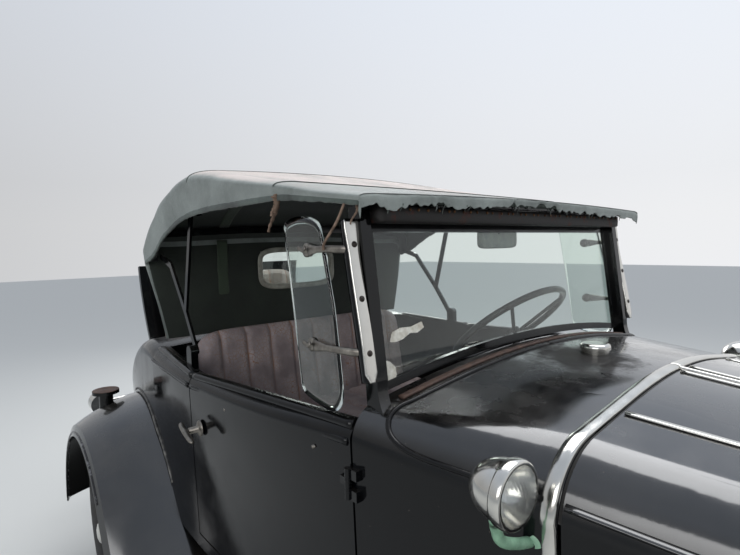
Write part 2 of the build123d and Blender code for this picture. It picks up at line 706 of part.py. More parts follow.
def fender(axle_x, radius, angles, run_down, inner, lift, side):
    """Fender over one wheel: arc, straight run and reverse arc down to the board."""
    low, high = (radians(a) for a in angles)
    front = run_down > 0
    if front:
        start, stop, turn_sign = low, high, 1
    else:
        start, stop, turn_sign = high, low, -1
    place = lambda a: (axle_x + radius * cos(a), 0, wheel_z + radius * sin(a))
    middle = place((start + stop) / 2)
    end = Vector(*place(stop))
    slope = radians(angles[1] - 90) if front else radians(90 - angles[0])
    heading = Vector(-cos(slope) if front else cos(slope), 0, -sin(slope))
    sweep_radius = run_down if front else -run_down
    drop = end.Z - board_top_z - sweep_radius * (1 - cos(slope))
    corner = end + heading * (drop / sin(slope))
    across = sweep_radius * sin(slope)
    flat = Vector(corner.X + (-across if front else across), 0, board_top_z)
    centre = Vector(flat.X, 0, board_top_z + sweep_radius)
    half = slope / 2
    bend = Vector(centre.X + (sweep_radius * sin(half)) * (1 if front else -1), 0,
                  centre.Z - sweep_radius * cos(half))
    with BuildPart() as form:
        with BuildLine() as path:
            ThreePointArc(place(start), middle, end)
            Line(end, corner)
            ThreePointArc(corner, bend, flat)
        tangent = Vector(-sin(start), 0, cos(start)) * turn_sign
        out = Vector(cos(start), 0, sin(start))
        plane = Plane(origin=place(start), x_dir=(0, 1, 0),
                      z_dir=Vector(0, 1, 0).cross(out))
        profile = [(side * y, r) for y, r in fender_profile(radius, inner, lift)]
        sweep(fender_section(plane, profile, side, sheet), path=path.line)
    return form.part, flat.X


rail_mid_half = rail_front_half + 16
front_left, board_front_x = fender(front_axle_x, front_fender_radius, front_fender_angles, 600,
                                   fender_inner, -46, 1)
rear_left, board_rear_x = fender(rear_axle_x, rear_fender_radius, rear_fender_angles, -300,
                                 rear_fender_inner, 42, 1)
with BuildPart() as fenders_front:
    add(front_left)
    with BuildSketch(Plane.YZ.offset(front_axle_x - 16)):
        with BuildLine():
            Polyline((rail_mid_half, frame_top_z - 60), (rail_mid_half, frame_top_z - 20),
                     (fender_inner + 10, wheel_z + front_fender_radius - 46),
                     (fender_inner + 10, wheel_z + front_fender_radius - 90), close=True)
        make_face()
    extrude(amount=32)
    mirror(about=Plane.XZ)
save(fenders_front, "fenders_front")
with BuildPart() as fenders_rear:
    add(rear_left)
    add(body_form.part, mode=Mode.SUBTRACT)
    mirror(about=Plane.XZ)
save(fenders_rear, "fenders_rear")

# Running boards with the splash aprons that reach up to the body
board_thick = 22
board_inner = 600
apron_thick = 8
with BuildPart() as running_boards:
    with BuildSketch(Plane.YZ.offset(board_rear_x)):
        with BuildLine():
            Polyline((board_inner, board_top_z - board_thick), (fender_half_width, board_top_z - board_thick),
                     (fender_half_width, board_top_z), (board_inner + 22, board_top_z),
                     (rail_rear_half + 110, frame_top_z - 70), (rail_rear_half, frame_top_z - 66),
                     (rail_rear_half, frame_top_z - 66 - apron_thick),
                     (rail_rear_half + 105, frame_top_z - 70 - apron_thick),
                     (board_inner, board_top_z), close=True)
        make_face()
    extrude(amount=windshield_x - board_rear_x)
    with BuildSketch(Plane.XY.offset(board_top_z - board_thick)):
        with Locations(((board_front_x + windshield_x) / 2, (board_inner + fender_half_width) / 2)):
            Rectangle(board_front_x - windshield_x, fender_half_width - board_inner)
    extrude(amount=board_thick)
    mirror(about=Plane.XZ)
    add(fenders_rear.part, mode=Mode.SUBTRACT)
    add(fenders_front.part, mode=Mode.SUBTRACT)
save(running_boards, "running_boards")

# Bumpers: a pair of spring bars bowed across the car on two irons
bumper_bow = 70
bar_height = 42
bar_thick = 8
bar_gap = 30
bumper_z = frame_bottom_z + 32
bracket_width = 150
bracket_height = 26
bracket_thick = 4
bracket_holes = 110
bracket_hole_radius = 3.5
bracket_back = 10
bumper_rows = (
    # name, outermost x, direction outwards, half width, frame end and y of the irons
    ("bumper_front", car_length / 2, 1, 800, frame_front_x, rail_front_half - channel - 5),
    ("bumper_rear", -car_length / 2, -1, 600, frame_rear_x, rail_rear_half - channel - 5),
)
for name, x, out, bumper_half, end_x, arm_y in bumper_rows:
    with BuildPart() as bumper:
        for low in (bumper_z - bar_gap / 2 - bar_height, bumper_z + bar_gap / 2):
            with BuildSketch(Plane.XY.offset(low)):
                with BuildLine():
                    ThreePointArc((x - out * bumper_bow, -bumper_half), (x, 0),
                                  (x - out * bumper_bow, bumper_half))
                    Line((x - out * bumper_bow, bumper_half),
                         (x - out * (bumper_bow + bar_thick), bumper_half))
                    ThreePointArc((x - out * (bumper_bow + bar_thick), bumper_half),
                                  (x - out * bar_thick, 0),
                                  (x - out * (bumper_bow + bar_thick), -bumper_half))
                    Line((x - out * (bumper_bow + bar_thick), -bumper_half),
                         (x - out * bumper_bow, -bumper_half))
                make_face()
            extrude(amount=bar_height)
        for side in (1, -1):
            for y in (side * arm_y, side * (bumper_half - 40), 0):
                bow = bumper_bow * (y / bumper_half) ** 2
                add(box_between((min(x - out * (bow + 14), x - out * (bow + 5)), y - 16,
                                 bumper_z - bar_gap / 2 - bar_height + 4),
                                (max(x - out * (bow + 14), x - out * (bow + 5)), y + 16,
                                 bumper_z + bar_gap / 2 + bar_height - 4)))
            y = side * arm_y
            bow = bumper_bow * (y / bumper_half) ** 2
            near, far = sorted((x - out * (bow + 10), end_x - out * 60))
            add(box_between((near, y - 5, bumper_z - 20), (far, y + 5, bumper_z + 20)))
        with BuildSketch(Plane.YZ.offset(x - out * (bracket_back + bracket_thick / 2))):
            with Locations((0, bumper_z)):
                Rectangle(bracket_width, bracket_height)
            with Locations((-bracket_holes / 2, bumper_z), (bracket_holes / 2, bumper_z)):
                Circle(bracket_hole_radius, mode=Mode.SUBTRACT)
        extrude(amount=bracket_thick / 2, both=True)
        add(frame.part, mode=Mode.SUBTRACT)
    save(bumper, name)

# Headlamps on a bowed cross bar between the front fenders
lamp_x = front_axle_x + 175
lamp_y = 350
lamp_z = 850
lamp_radius = 118
bowl_depth = 150
bar_depth = 24
bar_half = fender_inner + 2
bar_end_z = 738
with BuildPart() as headlamps:
    for side in (1, -1):
        with BuildSketch(Plane(origin=(lamp_x, side * lamp_y, lamp_z), x_dir=(1, 0, 0), z_dir=(0, 1, 0))):
            with BuildLine():
                Line((-bowl_depth, 0), (-bowl_depth, 16))
                ThreePointArc((-bowl_depth, 16), (-bowl_depth * 0.68, lamp_radius * 0.72), (-22, lamp_radius - 4))
                Polyline((-22, lamp_radius - 4), (-22, lamp_radius), (4, lamp_radius), (4, lamp_radius - 8))
                ThreePointArc((4, lamp_radius - 8), (14, lamp_radius * 0.55), (18, 12))
                Polyline((18, 12), (18, 0), (-bowl_depth, 0))
            make_face()
        revolve(axis=Axis((lamp_x, side * lamp_y, lamp_z), (1, 0, 0)))
        add(rod((lamp_x - 55, side * lamp_y, lamp_z - 175), (lamp_x - 55, side * lamp_y, lamp_z - 60), 14))
    with BuildSketch(Plane.YZ.offset(lamp_x - 67)):
        with BuildLine():
            ThreePointArc((-bar_half, bar_end_z), (0, lamp_z - 185), (bar_half, bar_end_z))
            Line((bar_half, bar_end_z), (bar_half, bar_end_z + bar_depth))
            ThreePointArc((bar_half, bar_end_z + bar_depth), (0, lamp_z - 185 + bar_depth),
                          (-bar_half, bar_end_z + bar_depth))
            Line((-bar_half, bar_end_z + bar_depth), (-bar_half, bar_end_z))
        make_face()
    extrude(amount=bar_depth)
    add(fenders_front.part, mode=Mode.SUBTRACT)
save(headlamps, "headlamps")

# Cowl lamps on curved arms
cowl_lamp = (windshield_x + 345, 580, 1122)
arm_back = 26
with BuildPart() as cowl_lamps:
    x, y, z = cowl_lamp
    with BuildSketch(Plane(origin=(x, y, z), x_dir=(1, 0, 0), z_dir=(0, 1, 0))):
        with BuildLine():
            Line((-76, 0), (-76, 8))
            ThreePointArc((-76, 8), (-54, 34), (-6, 45))
            Polyline((-6, 45), (-6, 49), (12, 49), (12, 44))
            ThreePointArc((12, 44), (21, 25), (25, 6))
            Polyline((25, 6), (25, 0), (-76, 0))
        make_face()
    revolve(axis=Axis((x, y, z), (1, 0, 0)))
    add(rod((x - arm_back, y, z - 84), (x - arm_back, y, z - 38), 9))
    add(rod((x - arm_back, y - 130, z - 128), (x - arm_back, y, z - 80), 9))
    mirror(about=Plane.XZ)
    add(cowl_form.part, mode=Mode.SUBTRACT)
save(cowl_lamps, "cowl_lamps")

# Windshield leaning back, its lower rail bowed over the cowl
screen_lean = 7.5
screen_plane = Plane(origin=(windshield_x, 0, 1165), x_dir=(0, 1, 0),
                     z_dir=(cos(radians(screen_lean)), 0, sin(radians(screen_lean))))
screen_half = 520
screen_height = 350
screen_rim = 20
screen_thick = 14
glass_thick = 6


def screen_outline(inset):
    """Outline of the windshield in its own plane, with a bowed lower edge."""
    half = screen_half - inset
    with BuildSketch(screen_plane) as outline:
        with BuildLine():
            ThreePointArc((-half, 8 + inset), (0, 46 + inset), (half, 8 + inset))
            Line((half, 8 + inset), (half, screen_height - inset))
            Line((half, screen_height - inset), (-half, screen_height - inset))
            Line((-half, screen_height - inset), (-half, 8 + inset))
        make_face()
    return outline.sketch.face()


with BuildPart() as windshield_frame:
    extrude(screen_outline(0), amount=screen_thick / 2, both=True)
    extrude(screen_outline(screen_rim), amount=screen_thick, both=True, mode=Mode.SUBTRACT)
    extrude(screen_outline(screen_rim - 8), amount=glass_thick / 2, both=True, mode=Mode.SUBTRACT)
    add(cowl_form.part, mode=Mode.SUBTRACT)
save(windshield_frame, "windshield_frame")
with BuildPart() as windshield_glass:
    extrude(screen_outline(screen_rim - 7.5), amount=glass_thick / 2 - 0.2, both=True)
save(windshield_glass, "windshield_glass")

# Posts beside the windshield, spreading into a foot on the cowl
post_inner = screen_half + seat_gap
post_thick = 26
with BuildPart() as windshield_posts:
    with BuildSketch(Plane(origin=(windshield_x, post_inner, 0), x_dir=(1, 0, 0), z_dir=(0, -1, 0))):
        with BuildLine():
            ThreePointArc((72, 1112), (40, 1145), (24, 1205))
            Line((24, 1205), (-22, 1545))
            Line((-22, 1545), (-56, 1540))
            Line((-56, 1540), (-12, 1200))
            Line((-12, 1200), (-5, 1112))
            Line((-5, 1112), (72, 1112))
        make_face()
    extrude(amount=-post_thick)
    mirror(about=Plane.XZ)
    add(cowl_form.part, mode=Mode.SUBTRACT)
save(windshield_posts, "windshield_posts")

# Wing glasses clamped to the posts
wing_y = 580
wing_thick = 6
clamp_levels = (1261, 1458)
clamp_length = 110
clamp_half = 9
with BuildPart() as wind_wings:
    with BuildSketch(Plane(origin=(windshield_x, wing_y, 0), x_dir=(1, 0, 0), z_dir=(0, -1, 0))):
        with BuildLine():
            Polyline((-103, 1514), (-35, 1170), (-67, 1130), (-183, 1150), (-245, 1519), (-146, 1529),
                     close=True)
        make_face()
    extrude(amount=-wing_thick)
    for z in clamp_levels:
        x = windshield_x - (z - 1200) * 0.132
        add(box_between((x - clamp_length, post_inner + post_thick, z - clamp_half),
                        (x, wing_y, z + clamp_half)))
        add(rod((x - clamp_length + clamp_half, wing_y + wing_thick, z),
                (x - clamp_length + clamp_half, wing_y + wing_thick + 8, z), 16))
    mirror(about=Plane.XZ)
    add(windshield_posts.part, mode=Mode.SUBTRACT)
save(wind_wings, "wind_wings")

# Folding top: one cloth shell over three bows, with a rear curtain
top_wall = 10
top_rows = (
    # x, half width at the hem, half width of the side, side z, half width of the top,
    # top edge z, crown z, hem z
    (windshield_x + 35, 590, 594, 1552, 566, 1562, 1572, 1540),
    (windshield_x - 95, 596, 600, 1572, 560, 1586, 1594, 1560),
    (windshield_x - 235, 602, 606, 1596, 555, 1612, 1616, 1572),
    (windshield_x - 405, 608, 612, 1620, 550, 1642, 1646, 1573),
    (windshield_x - 575, 614, 620, 1648, 545, 1678, 1688, 1573),
    (windshield_x - 735, 620, 628, 1662, 535, 1706, 1722, 1566),
    (windshield_x - 855, 626, 634, 1640, 545, 1690, 1714, 1545),
    (windshield_x - 975, 632, 640, 1590, 560, 1652, 1676, 1500),
    (windshield_x - 1085, 636, 643, 1520, 575, 1590, 1614, 1437),
    (cockpit_rear_x - 45, 638, 642, 1456, 602, 1500, 1522, 1415),
)


def top_face(row, inset=0.0, drop=0.0):
    """Section of the top at one station, inset for its inner side."""
    return body_section(*row[:7], inset=inset, bottom_z=row[7] - drop)


def top_at(x):
    """Table row of the top at any station."""
    for row_a, row_b in zip(top_rows, top_rows[1:]):
        if x >= row_b[0]:
            return between(row_a, row_b, x)
    return top_rows[-1]


with BuildPart() as top_form:
    for row_a, row_b in zip(top_rows, top_rows[1:]):
        loft([top_face(row_a), top_face(row_b)])
with BuildPart() as top_room:
    for row_a, row_b in zip(top_rows, top_rows[1:]):
        loft([top_face(row_a, top_wall, 30), top_face(row_b, top_wall, 30)])
curtain_foot_x = cockpit_rear_x - 35
curtain_foot_z = 1132
curtain_top = top_rows[-1]
window_half = 184
window_low = 1296
window_high = 1456
curtain_lean = (curtain_top[0] - curtain_foot_x) / (curtain_top[5] - curtain_foot_z)


def slanted(points, shift, thick):
    """Plate through (y, z) points that leans with the rear curtain."""
    plane = Plane(origin=(curtain_foot_x + shift, 0, curtain_foot_z), x_dir=(0, 1, 0),
                  z_dir=Vector(1, 0, -curtain_lean))
    rise = (1 + curtain_lean ** 2) ** 0.5
    with BuildPart() as plate:
        with BuildSketch(plane):
            with BuildLine():
                Polyline(*[(y, (z - curtain_foot_z) * rise) for y, z in points], close=True)
            make_face()
        extrude(amount=thick)
    return plate.part


curtain_edge = ((575, curtain_foot_z), (636, curtain_top[7]), (curtain_top[2] - 2, curtain_top[3]),
                (curtain_top[4] + 10, curtain_top[5] - 8), (curtain_top[4] * 0.6, curtain_top[6] - 12))
curtain_points = curtain_edge + tuple((-y, z) for y, z in reversed(curtain_edge))
window_points = ((-window_half, window_low), (window_half, window_low), (window_half, window_high),
                 (-window_half, window_high))
with BuildPart() as top_cover:
    add(top_form.part)
    add(top_room.part, mode=Mode.SUBTRACT)
    add(slanted(curtain_points, -10, top_wall))
    add(slanted(window_points, -16, top_wall + 12), mode=Mode.SUBTRACT)
    add(body_form.part, mode=Mode.SUBTRACT)
save(top_cover, "top_cover")
with BuildPart() as rear_window:
    add(slanted(((1 - window_half, window_low + 1), (window_half - 1, window_low + 1),
                 (window_half - 1, window_high - 1.5), (1 - window_half, window_high - 1.5)), -7, 4))
save(rear_window, "rear_window")

# Irons and bows under the cloth
bow_width = 30
bow_depth = 26
header_front_x = windshield_x + 28
header_depth = 84
header_low_z = 1546
iron_y = 598
iron_thick = 8
pivot_thick = 22
iron_width = 20
pivot = (windshield_x - 795, 1146)
iron_runs = (
    # points (x, z) of each flat iron in side view
    (pivot, (windshield_x - 880, 1262), (windshield_x - 1010, 1412), (cockpit_rear_x + 20, 1440)),
    ((windshield_x - 880, 1262), (windshield_x - 790, 1600)),
)


def flat_bar(start, end, y, width, thick):
    """Flat bar with round ends between two (x, z) points, on a plane across the car."""
    length = ((end[0] - start[0]) ** 2 + (end[1] - start[1]) ** 2) ** 0.5
    angle = degrees(atan2(end[1] - start[1], end[0] - start[0]))
    with BuildPart() as bar:
        with BuildSketch(Plane(origin=(0, y, 0), x_dir=(1, 0, 0), z_dir=(0, -1, 0))):
            with Locations(((start[0] + end[0]) / 2, (start[1] + end[1]) / 2)):
                SlotCenterToCenter(length, width, rotation=angle)
        extrude(amount=-thick)
    return bar.part


def header_half(front_x, rear_x):
    """Length of the wooden header board between two stations under the cloth."""
    with BuildPart() as piece:
        loft([body_section(x, *top_at(x)[1:7], inset=top_wall + seat_gap, bottom_z=header_low_z)
              for x in (front_x, rear_x)])
    return piece.part


def bow(x):
    """Wooden bow just under the cloth at one station."""
    row = (x,) + top_at(x)[1:]
    with BuildPart() as piece:
        extrude(top_face(row, top_wall + seat_gap), amount=bow_width / 2, both=True)
        extrude(top_face(row, top_wall + bow_depth, 60), amount=bow_width, both=True,
                mode=Mode.SUBTRACT)
    return piece.part


with BuildPart() as top_irons:
    for run in iron_runs:
        for start, end in zip(run, run[1:]):
            add(flat_bar(start, end, iron_y - iron_thick, iron_width, iron_thick))
    add(flat_bar(pivot, (pivot[0], 1090), iron_y, 40, pivot_thick))
    add(body_form.part, mode=Mode.SUBTRACT)
with BuildPart() as top_bows:
    for x in (windshield_x - 255, windshield_x - 740, cockpit_rear_x - 5):
        add(bow(x))
    for x in (header_front_x, header_front_x - header_depth / 2):
        add(header_half(x, x - header_depth / 2))
    add(top_cover.part, mode=Mode.SUBTRACT)
    add(top_irons.part)
    add(mirror(top_irons.part, about=Plane.XZ))
save(top_bows, "top_bows")

# Bench seat and its back
cushion_half = 515
cushion_top_z = 850
back_height = 440
back_crown = 42
with BuildPart() as seat_cushion:
    with BuildSketch(Plane.XY.offset(seat_box_z)):
        with Locations(((seat_back_x + 90 + seat_front_x) / 2, 0)):
            RectangleRounded(seat_front_x - seat_back_x - 90 + 40, 2 * cushion_half, 40)
    extrude(amount=cushion_top_z - seat_box_z)
    fillet(seat_cushion.edges().group_by(Axis.Z)[-1], radius=28)
save(seat_cushion, "seat_cushion")
with BuildPart() as seat_back:
    with BuildSketch(Plane(origin=(seat_back_x, -cushion_half, seat_box_z), x_dir=(1, 0, 0),
                           z_dir=(0, -1, 0))):
        with BuildLine():
            Polyline((8, seat_gap), (66, seat_gap), (66, cushion_top_z - seat_box_z - 20), (30, back_height - 5),
                     (-20, back_height), (-30, back_height - 20), (-6, 100), close=True)
        make_face()
    extrude(amount=-2 * cushion_half)
    with BuildSketch(Plane.YZ.offset(seat_back_x - 40)):
        with BuildLine():
            Polyline((-cushion_half, seat_box_z + back_height - back_crown),
                     (-cushion_half, seat_box_z), (cushion_half, seat_box_z),
                     (cushion_half, seat_box_z + back_height - back_crown))
            ThreePointArc((cushion_half, seat_box_z + back_height - back_crown),
                          (0, seat_box_z + back_height),
                          (-cushion_half, seat_box_z + back_height - back_crown))
        make_face()
    extrude(amount=120, mode=Mode.INTERSECT)
save(seat_back, "seat_back")

# Rumble seat: cushion in the well and a back on the lid
rumble_top_z = 690
with BuildPart() as rumble_cushion:
    with BuildSketch(Plane.XY.offset(frame_top_z + body_floor)):
        with Locations(((lid_hinge_x + lid_front_x) / 2 + 20, 0)):
            RectangleRounded(380, 780, 30)
    extrude(amount=rumble_top_z - frame_top_z - body_floor)
    fillet(rumble_cushion.edges().group_by(Axis.Z)[-1], radius=24)
save(rumble_cushion, "rumble_cushion")
with BuildPart() as back_closed:
    with BuildSketch(lid_plane.offset(-128)):
        with Locations((0, -lid_length * 0.52)):
            RectangleRounded(2 * lid_rear_half - 60, lid_length * 0.8, 30)
    extrude(amount=120)
    add(body_form.part, mode=Mode.INTERSECT)
    add(lid_closed.part, mode=Mode.SUBTRACT)
with BuildPart() as rumble_back:
    add(back_closed.part.rotate(lid_axis, lid_open_angle))
save(rumble_back, "rumble_back")

# Dashboard across the back of the cowl
dash_low_z = 985
dash_row = between(cowl_row, band_row, door_front_x + 12)
with BuildPart() as dashboard:
    extrude(body_section(*dash_row, inset=cowl_wall, bottom_z=dash_low_z), amount=12)
    add(cowl.part, mode=Mode.SUBTRACT)
save(dashboard, "dashboard")

# Steering column down to the floor, and the wheel on its top
column_angle = 50
column_y = 330
wheel_centre = (windshield_x - 290, column_y, 1172)
rim_circle = 215
grip_radius = 11
column_dir = Vector(cos(radians(column_angle)), 0, -sin(radians(column_angle)))
column_radius = 19
column_drop = (wheel_centre[2] - frame_top_z - body_floor) / sin(radians(column_angle))
with BuildPart() as steering_column:
    start = Vector(*wheel_centre) + column_dir * 62
    end = Vector(*wheel_centre) + column_dir * column_drop
    add(rod(tuple(start), tuple(end), column_radius))
    add(box_between((end.X - 80, column_y - 35, frame_top_z),
                    (end.X + 4, column_y + 35, frame_top_z + body_floor + 30)))
    add(floor.part, mode=Mode.SUBTRACT)
    add(rod(tuple(start - column_dir * 5), tuple(start + column_dir * 40), 9.4), mode=Mode.SUBTRACT)
save(steering_column, "steering_column")
rim_plane = Plane(origin=wheel_centre, x_dir=(0, 1, 0), z_dir=column_dir * -1)
spoke_plane = Plane(origin=wheel_centre, x_dir=(0, 1, 0), z_dir=rim_plane.y_dir)
with BuildPart() as steering_wheel:
    with BuildSketch(spoke_plane):
        with Locations((rim_circle, 0)):
            Circle(grip_radius)
    revolve(axis=Axis(wheel_centre, column_dir))
    for index in range(4):
        angle = radians(45 + 90 * index)
        tip = rim_plane.from_local_coords((rim_circle * cos(angle), rim_circle * sin(angle), 0))
        root = rim_plane.from_local_coords((0, 0, -36))
        add(rod(tuple(root), tuple(tip), 6))
    add(rod(tuple(Vector(*wheel_centre) - column_dir * -20),
            tuple(Vector(*wheel_centre) + column_dir * 56), 26))
    add(rod(tuple(Vector(*wheel_centre) + column_dir * 50),
            tuple(Vector(*wheel_centre) + column_dir * 95), 9))
save(steering_wheel, "steering_wheel")

# Fuel filler cap on the cowl
cap_x = windshield_x + 180
with BuildPart() as fuel_cap:
    cap_row = between(cowl_row, band_row, cap_x)
    add(rod((cap_x, 0, cap_row[6] - 12), (cap_x, 0, cap_row[6] + 10), 30))
    add(rod((cap_x, 0, cap_row[6] + 10), (cap_x, 0, cap_row[6] + 24), 34))
    fillet(fuel_cap.edges().group_by(Axis.Z)[-1], radius=9)
    add(cowl_form.part, mode=Mode.SUBTRACT)
save(fuel_cap, "fuel_cap")

# Spare wheel upright behind the tail, on a bracket from the frame
spare_x = tail_x - 130
spare_z = 700
with BuildPart() as spare_wheel:
    add(spare_form.rotate(Axis.Z, 90).moved(Location((spare_x, 0, spare_z))))
save(spare_wheel, "spare_wheel")
with BuildPart() as spare_tyre:
    add(tyre_form((0, 0, 0), 1).rotate(Axis.Z, 90).moved(Location((spare_x, 0, spare_z))))
save(spare_tyre, "spare_tyre")
with BuildPart() as spare_carrier:
    add(box_between((spare_x + 8, -40, frame_top_z - 30), (frame_rear_x + 60, 40, frame_top_z)))
    add(box_between((spare_x + 45, -40, frame_top_z - 30), (spare_x + 62, 40, spare_z + 40)))
    add(rod((spare_x + 62, 0, spare_z), (spare_x - 20, 0, spare_z), spindle_radius))
    add(frame.part, mode=Mode.SUBTRACT)
    add(body_form.part, mode=Mode.SUBTRACT)
    add(spare_wheel.part, mode=Mode.SUBTRACT)
    add(spare_tyre.part, mode=Mode.SUBTRACT)
save(spare_carrier, "spare_carrier")

# Tail lamps on arms from the rear fenders, and round step plates on the right
tail_lamp = (rear_axle_x - 390, 690, 760)
with BuildPart() as tail_lamps:
    x, y, z = tail_lamp
    add(rod((x - 70, y, z), (x, y, z), 46))
    add(rod((x - 35, y, z), (x - 35, y - 210, z + 10), 9))
    mirror(about=Plane.XZ)
    add(body_form.part, mode=Mode.SUBTRACT)
    add(fenders_rear.part, mode=Mode.SUBTRACT)
save(tail_lamps, "tail_lamps")
step_place = (rear_axle_x - 110, -725)
step_top_z = 895
with BuildPart() as step_plates:
    add(rod((step_place[0], step_place[1], wheel_z + rear_fender_radius - 30),
            (step_place[0], step_place[1], step_top_z - 2), 26))
    add(rod((step_place[0], step_place[1], step_top_z - 13),
            (step_place[0], step_place[1], step_top_z), 50))
    add(fenders_rear.part, mode=Mode.SUBTRACT)
    add(body_form.part, mode=Mode.SUBTRACT)
save(step_plates, "step_plates")

# Exhaust: manifold on the engine, down pipe, and a silencer hung from the right rail
pipe_radius = 22
pipe_y = engine_half + 40
pipe_z = frame_bottom_z - 35
down_x = band_x + 150
manifold_z = 800
silencer_radius = 58
silencer_front_x = windshield_x - 300
silencer_length = 500
tail_pipe_length = 470
hanger_width = 30
hanger_thick = 5
with BuildPart() as exhaust:
    add(box_between((down_x - pipe_radius, -pipe_y - pipe_radius, manifold_z - 30),
                    (hood_front_x - 130, -engine_half - seat_gap, manifold_z + 30)))
    add(rod((down_x, -pipe_y, manifold_z), (down_x, -pipe_y, pipe_z), pipe_radius))
    add(rod((down_x, -pipe_y, pipe_z), (silencer_front_x, -pipe_y, pipe_z), pipe_radius))
    add(rod((silencer_front_x, -pipe_y, pipe_z),
            (silencer_front_x - silencer_length, -pipe_y, pipe_z), silencer_radius))
    add(rod((silencer_front_x - silencer_length, -pipe_y, pipe_z),
            (silencer_front_x - silencer_length - tail_pipe_length, -pipe_y, pipe_z), pipe_radius - 3))
    for x in (silencer_front_x - 60, silencer_front_x - silencer_length + 60):
        add(box_between((x - hanger_width / 2, -rail_rear_half + rail_width - 14,
                         frame_bottom_z + channel),
                        (x + hanger_width / 2, -pipe_y, frame_bottom_z + channel + hanger_thick)))
        add(box_between((x - hanger_width / 2, -pipe_y - 10, pipe_z),
                        (x + hanger_width / 2, -pipe_y + 10, frame_bottom_z + channel + hanger_thick)))
save(exhaust, "exhaust")
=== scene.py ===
from functools import partial

import bmesh
import bpy
import numpy as np
from mathutils import Matrix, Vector
from numpy import array, clip, concatenate, cos, interp, linspace, pi, radians, sin, where


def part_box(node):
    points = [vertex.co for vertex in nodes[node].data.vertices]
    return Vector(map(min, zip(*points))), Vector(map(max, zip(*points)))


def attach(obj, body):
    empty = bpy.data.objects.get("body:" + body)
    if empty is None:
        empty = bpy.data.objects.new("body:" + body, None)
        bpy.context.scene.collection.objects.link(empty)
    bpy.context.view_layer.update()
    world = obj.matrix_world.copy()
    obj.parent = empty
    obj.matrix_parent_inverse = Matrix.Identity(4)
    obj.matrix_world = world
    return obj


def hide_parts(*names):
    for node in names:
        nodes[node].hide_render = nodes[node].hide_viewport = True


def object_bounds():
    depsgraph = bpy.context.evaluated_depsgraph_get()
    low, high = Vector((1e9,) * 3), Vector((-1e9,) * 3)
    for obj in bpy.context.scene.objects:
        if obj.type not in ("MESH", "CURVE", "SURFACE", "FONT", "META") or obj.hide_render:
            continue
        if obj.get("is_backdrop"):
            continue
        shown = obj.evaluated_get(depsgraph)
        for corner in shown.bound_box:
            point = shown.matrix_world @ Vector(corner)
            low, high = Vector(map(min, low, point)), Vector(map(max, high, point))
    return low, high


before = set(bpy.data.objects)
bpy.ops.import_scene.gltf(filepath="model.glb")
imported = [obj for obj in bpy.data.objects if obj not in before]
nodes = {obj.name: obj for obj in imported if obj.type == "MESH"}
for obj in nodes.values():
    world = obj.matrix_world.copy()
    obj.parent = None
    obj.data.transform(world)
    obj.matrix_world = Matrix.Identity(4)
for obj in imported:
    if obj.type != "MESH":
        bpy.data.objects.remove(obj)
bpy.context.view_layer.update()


# Where the picture is taken from: beside the right front door post, at a
# standing person's eye height, looking back and slightly down over the cowl.
def add_object(name, data):
    """A new object in the scene."""
    made = bpy.data.objects.new(name, data)
    bpy.context.scene.collection.objects.link(made)
    return made


def stand(thing, side, over, back, place):
    """Turns an object to three axes and puts it at a place."""
    turn = np.eye(4)
    turn[:3, 0], turn[:3, 1], turn[:3, 2], turn[:3, 3] = side, over, back, place
    thing.matrix_world = Matrix(turn.tolist())


photo_width = 740
lens_pixels = 487.6
eye = array((1.018, -1.136, 1.464))
eye_yaw, eye_pitch, eye_roll = radians((140.46, -3.70, -1.18))

forward = array((cos(eye_pitch) * cos(eye_yaw),
                    cos(eye_pitch) * sin(eye_yaw), sin(eye_pitch)))
level_right = array((sin(eye_yaw), -cos(eye_yaw), 0.0))
level_up = np.cross(level_right, forward)
right = cos(eye_roll) * level_right + sin(eye_roll) * level_up
up = cos(eye_roll) * level_up - sin(eye_roll) * level_right
camera_data = bpy.data.cameras.new("eye")
camera_data.sensor_width = 36.0
camera_data.lens = lens_pixels / photo_width * camera_data.sensor_width
camera_data.clip_start = 0.02
camera = add_object("eye", camera_data)
stand(camera, right, up, -forward, eye)
bpy.context.scene.camera = camera
bpy.context.scene.view_settings.view_transform = "Standard"


# A pale plain floor and soft studio light: a surround that brightens towards the
# left of the car, for the gloss on the hood and cowl, and three wide panels.
def linear(code):
    """An sRGB colour such as "a0b1c2" as linear red, green, blue and 1."""
    shares = [int(code[i:i + 2], 16) / 255 for i in (0, 2, 4)]
    return [s / 12.92 if s <= 0.04045 else ((s + 0.055) / 1.055) ** 2.4 for s in shares] + [1.0]


def feed(node, *values, **named):
    """Sets a node's properties and inputs, named ones first: an output is joined to its input,
    text for an input is an sRGB colour, anything else is a constant."""
    for key, value in [*named.items(), *enumerate(values)]:
        if isinstance(key, str) and hasattr(node, key):
            setattr(node, key, value)
            continue
        entry = node.inputs[key.replace("_", " ") if isinstance(key, str) else key]
        if isinstance(value, bpy.types.NodeSocket):
            node.id_data.links.new(value, entry)
        else:
            entry.default_value = linear(value) if isinstance(value, str) else value


def add_node(tree, kind, *values, out=None, **named):
    """Adds one shader node, feeds it (a MapRange takes value, from low, from high, to low, to
    high), and returns its output of that name or its first in use."""
    made = tree.nodes.new("ShaderNode" + kind)
    feed(made, *values, **named)
    return made.outputs[out] if out else next(o for o in made.outputs if o.enabled)


def blend(add, share, first, second):
    """A mix of two colours by share."""
    return add("Mix", data_type="RGBA", Factor=share, A=first, B=second)


def new_material(name):
    """A material with one shader: the material, what adds nodes to it, and the shader."""
    made = bpy.data.materials.new(name)
    made.use_nodes = True
    return made, partial(add_node, made.node_tree), made.node_tree.nodes["Principled BSDF"]


